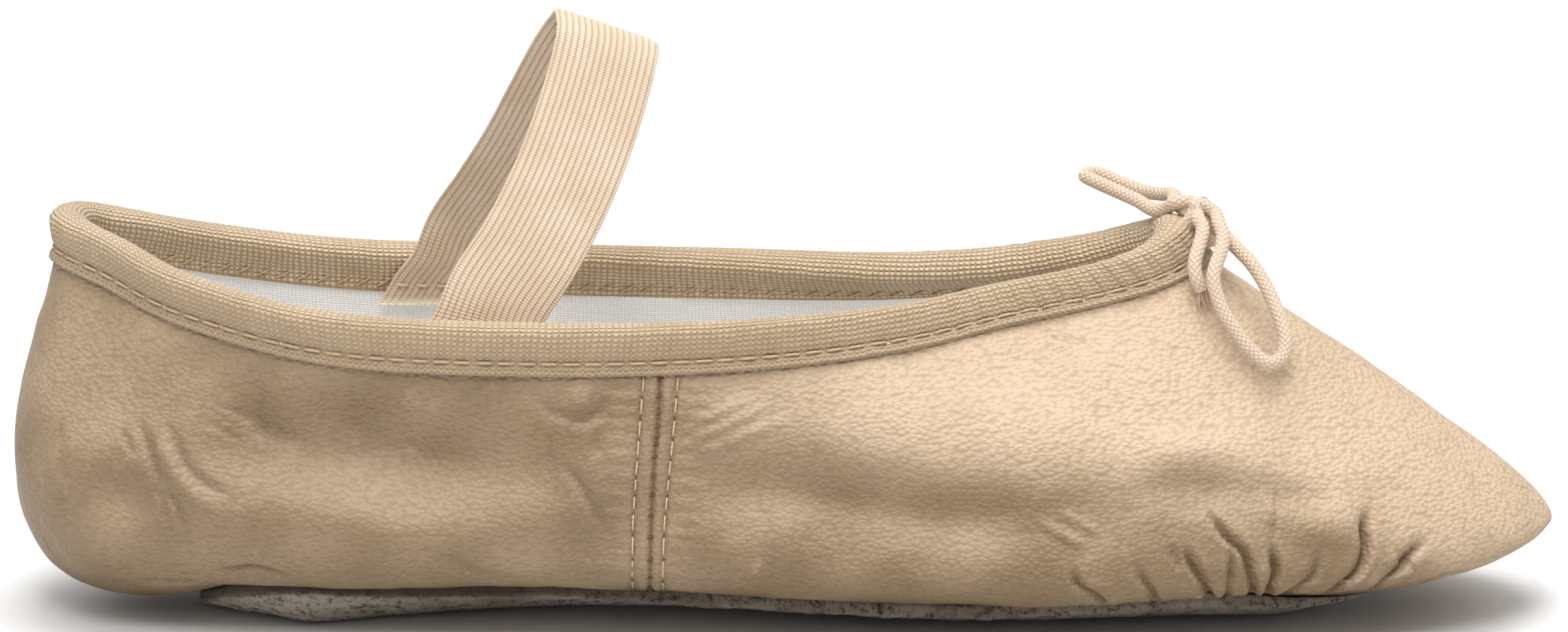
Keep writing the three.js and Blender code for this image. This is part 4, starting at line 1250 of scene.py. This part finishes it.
class SLIPPER_OT_binding(bpy.types.Operator):
    """Make the canvas binding, its casing and its seam"""

    bl_idname = "slipper.binding"
    bl_label = "Canvas binding"

    def execute(self, context):
        u = close_places(BINDING_PLACES, lambda line: 1 + 0.8 * smooth(30, 60, line[:, 0]))
        edge = wall(u, np.ones_like(u))
        around = lengths_along(edge, 0, True)
        rings, gather = self.profile(u, edge, around[:-1])
        self.add_tape(rings, gather, context.scene)
        self.sew(np.append(u, 1.0), around, context.scene)
        return {"FINISHED"}

    def profile(self, u, edge, around):
        """The tape's rows: its outer face, the casing's top, its inner face and its hidden back."""
        normal = normal_of(wall, u, np.ones_like(u))
        upward = unit(edge - wall(u, np.full_like(u, 1 - STEP)))

        def leg(distance, depth):
            return under(wall, u, wall_share(u, distance), np.broadcast_to(depth, u.shape))

        gather = smooth(20, 62, edge[:, 0])
        throat = bell(np.linalg.norm(edge - wall(np.array([0.5]), np.array([1.0])), axis=-1), 7)
        pucker = (0.07 + 0.26 * gather) * np.sin(around * 2 * math.pi / PUCKER_LENGTH + 2 * np.sin(around / 9))
        rows = []
        outside = np.linspace(TAPE_WIDTH, 0, BINDING_ROWS)
        for d in outside:
            puff = swell(d) * (1.1 + 0.12 * np.sin(around / 3.1) + 0.5 * throat) + pucker * bell(d - 2.6, 2.4)
            pinch = 0.55 * bell(d - TAPE_WIDTH + SEAM_INSET, 0.6)
            roll = 0.12 * bell(d - TAPE_WIDTH, 0.4) + 0.14 * ripple(edge * [1, 1, 0] + [0, 0, d], 1.6, 31)
            rows.append(leg(d, -(TAPE_OFFSET + puff - pinch - roll)))
        middle = edge - normal * UPPER_WALL / 2
        half = UPPER_WALL / 2 + TAPE_OFFSET + CASING_SWELL
        for angle in TOP_ANGLES:
            top = (CASING_TOP + 1.7 * throat + 0.25 * pucker)[:, None] * math.sin(angle)
            rows.append(middle + normal * half * math.cos(angle) + upward * top)
        rows += [leg(d, UPPER_WALL + TAPE_OFFSET + swell(d)) for d in outside[::-2]]
        rows += [leg(d, UPPER_WALL + CLEARANCE) for d in (TAPE_WIDTH, TAPE_WIDTH / 2, 0)]
        rows += [edge - normal * depth + upward * CLEARANCE for depth in (UPPER_WALL + CLEARANCE, -CLEARANCE)]
        rows += [leg(d, -CLEARANCE) for d in (TAPE_WIDTH / 2, TAPE_WIDTH)]
        return np.stack(rows, 1), gather

    def add_tape(self, rings, gather, scene):
        colours, thread = scene.slipper_colours, scene.slipper_sizes.canvas_thread / MM
        canvas = cotton_material(
            "peach_canvas_binding", colours.canvas, colours.canvas_shade, thread, thread * 0.8, 0.0005,
            colours.canvas_dirt_and_shade,
        )
        # The outer face gets dirt with painted shade, down to nothing over the casing's top, so that the inner
        # face stays lighter.
        outer_rows = BINDING_ROWS + len(TOP_ANGLES)
        soiled_and_shaded = np.zeros(rings.shape[:2])
        soiled_and_shaded[:, :outer_rows] = np.linspace(1, 0, outer_rows)[None, :] ** 0.5 * (0.85 - 0.2 * gather[:, None])
        piece = around_mesh("canvas_binding", rings, {"dirt_and_shade": soiled_and_shaded})
        finish_piece(piece, canvas, "canvas_binding", "binding")

    def sew(self, places, around, scene):
        """The tape's seam, outside and in; around holds the running length at each of the places."""
        total = float(around[-1])
        count = round(total * MM / scene.slipper_sizes.stitch)
        starts_at, ends_at = (
            np.interp((np.arange(count) + step) / count * total, around, places) for step in (0, STITCH_SHARE)
        )
        seam = TAPE_WIDTH - SEAM_INSET
        ways = normal_of(wall, starts_at, wall_share(starts_at, seam))
        thread = thread_material("binding_thread", scene.slipper_colours.tape_stitch)
        # Each row of stitches: its name, depth, half its slant, the side it bows out to, its radius and lift.
        for name, depth, slant, side, radius, lift in (
            ("binding_stitches", 0.3 - TAPE_OFFSET, 0, 1, 0.22, 0.16),
            ("binding_inner_stitches", UPPER_WALL + TAPE_OFFSET + 0.05, 0.8, -1, 0.18, 0.22),
        ):
            deep = np.full(count, depth)
            starts = under(wall, starts_at, wall_share(starts_at, seam - slant), deep)
            ends = under(wall, ends_at, wall_share(ends_at, seam + slant), deep)
            finish_piece(stitches(name, starts, ends, ways * side, radius, lift), thread, "canvas_binding")


# The elastic strap


def strap_tail(side, foot, distance):
    """The middle of a sewn end of the strap and the way of its width."""
    x = foot - STRAP_TAIL_SLANT * distance
    fine = np.linspace(0, 0.5, 2001)
    share = float(np.interp(x, at(COLLAR_LINE, fine)[:, 0], fine))
    u = np.array([share if side < 0 else 1 - share])
    depth = UPPER_WALL + TAPE_OFFSET + swell(distance) + STRAP_STANDOFF + STRAP_THICKNESS / 2
    reach = STRAP_WIDTH / 2 / SHOE_LENGTH / 2
    ends = [wall(v, wall_share(v, distance))[0] for v in (u - reach, u + reach)]
    way = np.append(unit((ends[1] - ends[0])[:2]) * -side, -STRAP_TAIL_TIP * (1 - distance / STRAP_TAIL) ** 2)
    return under(wall, u, wall_share(u, distance), np.array([depth]))[0], way


def strap_lines(count):
    """The strap's middle line and the way of its width along it."""
    tails = []
    for side, foot in ((-1, STRAP_FOOT), (1, STRAP_FOOT + STRAP_FAR_FOOT * STRAP_AHEAD)):
        tails.append([strap_tail(side, foot, share * STRAP_TAIL) for share in (1, 0.5, 0)])
    base = tails[0][2][0]
    legs = []
    for up, out, ahead, lean in STRAP:
        tip = math.radians(lean)
        point = (base[0] + ahead * STRAP_AHEAD, -out * base[1], base[2] + CASING_TOP + up * STRAP_RISE)
        legs.append((np.array(point), np.array([math.cos(tip), 0, -math.sin(tip)])))
    rows = tails[0] + legs + tails[1][::-1]
    return open_line([r[0] for r in rows], count), unit(open_line([r[1] for r in rows], count, True))


STRAP_STEPS = 190
STEPS_ACROSS_RIB = 6
SEWN_ROW = 10  # steps from each end of the strap to its stitches
STRAP_STITCHES = 6


class SLIPPER_OT_strap(bpy.types.Operator):
    """Make the ribbed elastic strap and its stitching"""

    bl_idname = "slipper.strap"
    bl_label = "Elastic strap"

    def execute(self, context):
        path, width = strap_lines(STRAP_STEPS)
        face = np.cross(unit(np.gradient(path, axis=0)), width)
        broad = STRAP_WIDTH / 2 / np.linalg.norm(face, axis=-1, keepdims=True)
        face, half_width = unit(face), width * broad
        ribs = round(STRAP_WIDTH * MM / context.scene.slipper_sizes.rib)
        across = np.linspace(-1, 1, ribs * STEPS_ACROSS_RIB + 1)
        groove = (1 - np.abs(np.cos(across * ribs * math.pi / 2))) ** 2
        thick = STRAP_THICKNESS / 2 * (1 - 0.3 * groove) * np.clip((1 - across**10), 0.25, 1) ** 0.5
        middle = path[:, None] + half_width[:, None] * across[None, :, None]
        lift = face[:, None] * thick[None, :, None]
        rings = np.concatenate([middle + lift, (middle - lift)[:, ::-1]], 1)
        rows, columns = rings.shape[:2]
        faces, corners = grid_faces(rows, columns, False, True)
        along = lengths_along(path, 0, False)
        place = np.concatenate([across, across[::-1], across[:1]]) * STRAP_WIDTH / 2
        uv = np.stack([place[corners[..., 1]], along[corners[..., 0]]], -1)
        # Painted shade in the grooves between the ribs.
        groove_shade = np.broadcast_to(np.concatenate([groove, groove[::-1]]), (rows, columns)) * 0.75
        raw = np.maximum(smooth(1.6, 0.3, along[-1] - along), smooth(1.6, 0.3, along))[:, None] + 0 * groove_shade
        # Each end is closed by quads between its upper and its lower edge.
        k = np.arange(columns // 2 - 1)
        cap = np.stack([k, columns - 1 - k, columns - 2 - k, k + 1], -1)
        faces = np.concatenate([faces, cap, cap[:, ::-1] + (rows - 1) * columns]).tolist()
        uv = np.concatenate([uv, np.zeros((2 * len(cap), 4, 2))])
        piece = make_mesh("elastic_strap_webbing", rings, faces, uv, {"groove": groove_shade, "raw_end": raw})
        finish_piece(piece, elastic_material(), "elastic_webbing", "elastic_strap")
        self.sew(path, half_width, width, face, context.scene.slipper_colours)
        return {"FINISHED"}

    def sew(self, path, half_width, width, face, colours):
        """A row of stitches across each end of the strap, on its side towards the middle of the shoe."""
        sewn = []
        for row, side in ((SEWN_ROW, -1), (len(path) - 1 - SEWN_ROW, 1)):
            place = np.linspace(-0.9, 0.8, STRAP_STITCHES)[:, None]
            inward = face[row] * (1 if face[row][1] * side < 0 else -1)
            start = path[row] + half_width[row] * place + inward * STRAP_THICKNESS / 2
            sewn.append((start, start + width[row] * 1.9, np.tile(inward, (STRAP_STITCHES, 1))))
        thread = thread_material("strap_thread", colours.topstitch)
        joined = [np.concatenate(part) for part in zip(*sewn)]
        finish_piece(stitches("strap_stitches", *joined, 0.24, 0.3), thread, "elastic_webbing")


# The stage

# The camera that the photograph was fitted with.
CAMERA_PLACE = (0, -0.96424, 0.26885)
CAMERA_TILT = 77
CAMERA_LENS, CAMERA_SENSOR = 146.265, 36
# Each softbox: its name, place, lean in degrees, width in metres and power in watts.
SOFTBOXES = (
    ("top_softbox", (0.05, 0.0, 1.1), 0, 0.8, 8.5),
    ("front_softbox", (-0.1, -0.8, 0.95), 40, 0.4, 5),
)
DOME_STRENGTH = {"To Min": 0.25, "To Max": 1.2}  # from the horizon to the top
FLOOR_SIZE = 12


class SLIPPER_OT_stage(bpy.types.Operator):
    """Set up the pale floor, the soft light and the camera"""

    bl_idname = "slipper.stage"
    bl_label = "Floor, light and camera"

    def execute(self, context):
        scene = context.scene
        bpy.ops.object.select_all(action="DESELECT")
        bpy.ops.object.camera_add(location=CAMERA_PLACE, rotation=(math.radians(CAMERA_TILT), 0, 0))
        camera = context.object
        camera.data.lens = CAMERA_LENS
        camera.data.sensor_width = CAMERA_SENSOR
        camera.data.clip_start = 0.05
        scene.camera = camera
        bpy.ops.mesh.primitive_plane_add(size=FLOOR_SIZE, location=(0, 0, 0))
        floor = context.object
        floor.name = "floor"
        made, _, shader = new_material("pale_floor")
        shader.inputs["Base Color"].default_value = colour(scene.slipper_colours.floor)
        shader.inputs["Roughness"].default_value = 0.9
        floor.data.materials.append(made)
        for name, place, lean, size, power in SOFTBOXES:
            bpy.ops.object.light_add(type="AREA", location=place, rotation=(math.radians(lean), 0, 0))
            light = context.object
            light.name = name
            light.data.shape = "SQUARE"
            light.data.size = size
            light.data.energy = power
        self.light_dome(scene)
        scene.view_settings.view_transform = "Standard"
        return {"FINISHED"}

    def light_dome(self, scene):
        """An even white sky, brighter overhead."""
        world = bpy.data.worlds.new("studio")
        scene.world = world
        world.use_nodes = True
        tree = world.node_tree
        way = add_node(tree, "ShaderNodeTexCoord").outputs["Generated"]
        height = add_node(tree, "ShaderNodeSeparateXYZ", None, None, {0: way}).outputs[2]
        dome = add_node(tree, "ShaderNodeMapRange", None, DOME_STRENGTH, {0: height}).outputs[0]
        sky = tree.nodes["Background"]
        sky.inputs["Color"].default_value = (1, 1, 1, 1)
        tree.links.new(dome, sky.inputs["Strength"])


class SLIPPER_PT_panel(bpy.types.Panel):
    """The slipper's pieces and sizes"""

    bl_label = "Ballet Slipper"
    bl_idname = "SLIPPER_PT_panel"
    bl_space_type = "VIEW_3D"
    bl_region_type = "UI"
    bl_category = "Slipper"

    def draw(self, context):
        layout = self.layout
        for operator in OPERATORS:
            layout.operator(operator.bl_idname)
        for group in (context.scene.slipper_sizes, context.scene.slipper_colours):
            for key in group.bl_rna.properties.keys()[2:]:
                layout.prop(group, key)


OPERATORS = (
    SLIPPER_OT_stage,
    SLIPPER_OT_drawstring,
    SLIPPER_OT_upper,
    SLIPPER_OT_soles,
    SLIPPER_OT_binding,
    SLIPPER_OT_strap,
)
CLASSES = (SlipperSizes, SlipperColours, *OPERATORS, SLIPPER_PT_panel)


def register():
    for cls in CLASSES:
        bpy.utils.register_class(cls)
    bpy.types.Scene.slipper_sizes = bpy.props.PointerProperty(type=SlipperSizes)
    bpy.types.Scene.slipper_colours = bpy.props.PointerProperty(type=SlipperColours)


def unregister():
    del bpy.types.Scene.slipper_colours
    del bpy.types.Scene.slipper_sizes
    for cls in reversed(CLASSES):
        bpy.utils.unregister_class(cls)


def main():
    """Builds the whole slipper."""
    register()
    bpy.ops.slipper.stage()
    bpy.ops.slipper.drawstring()
    bpy.ops.slipper.upper()
    bpy.ops.slipper.soles()
    bpy.ops.slipper.binding()
    bpy.ops.slipper.strap()


if __name__ == "__main__":
    main()
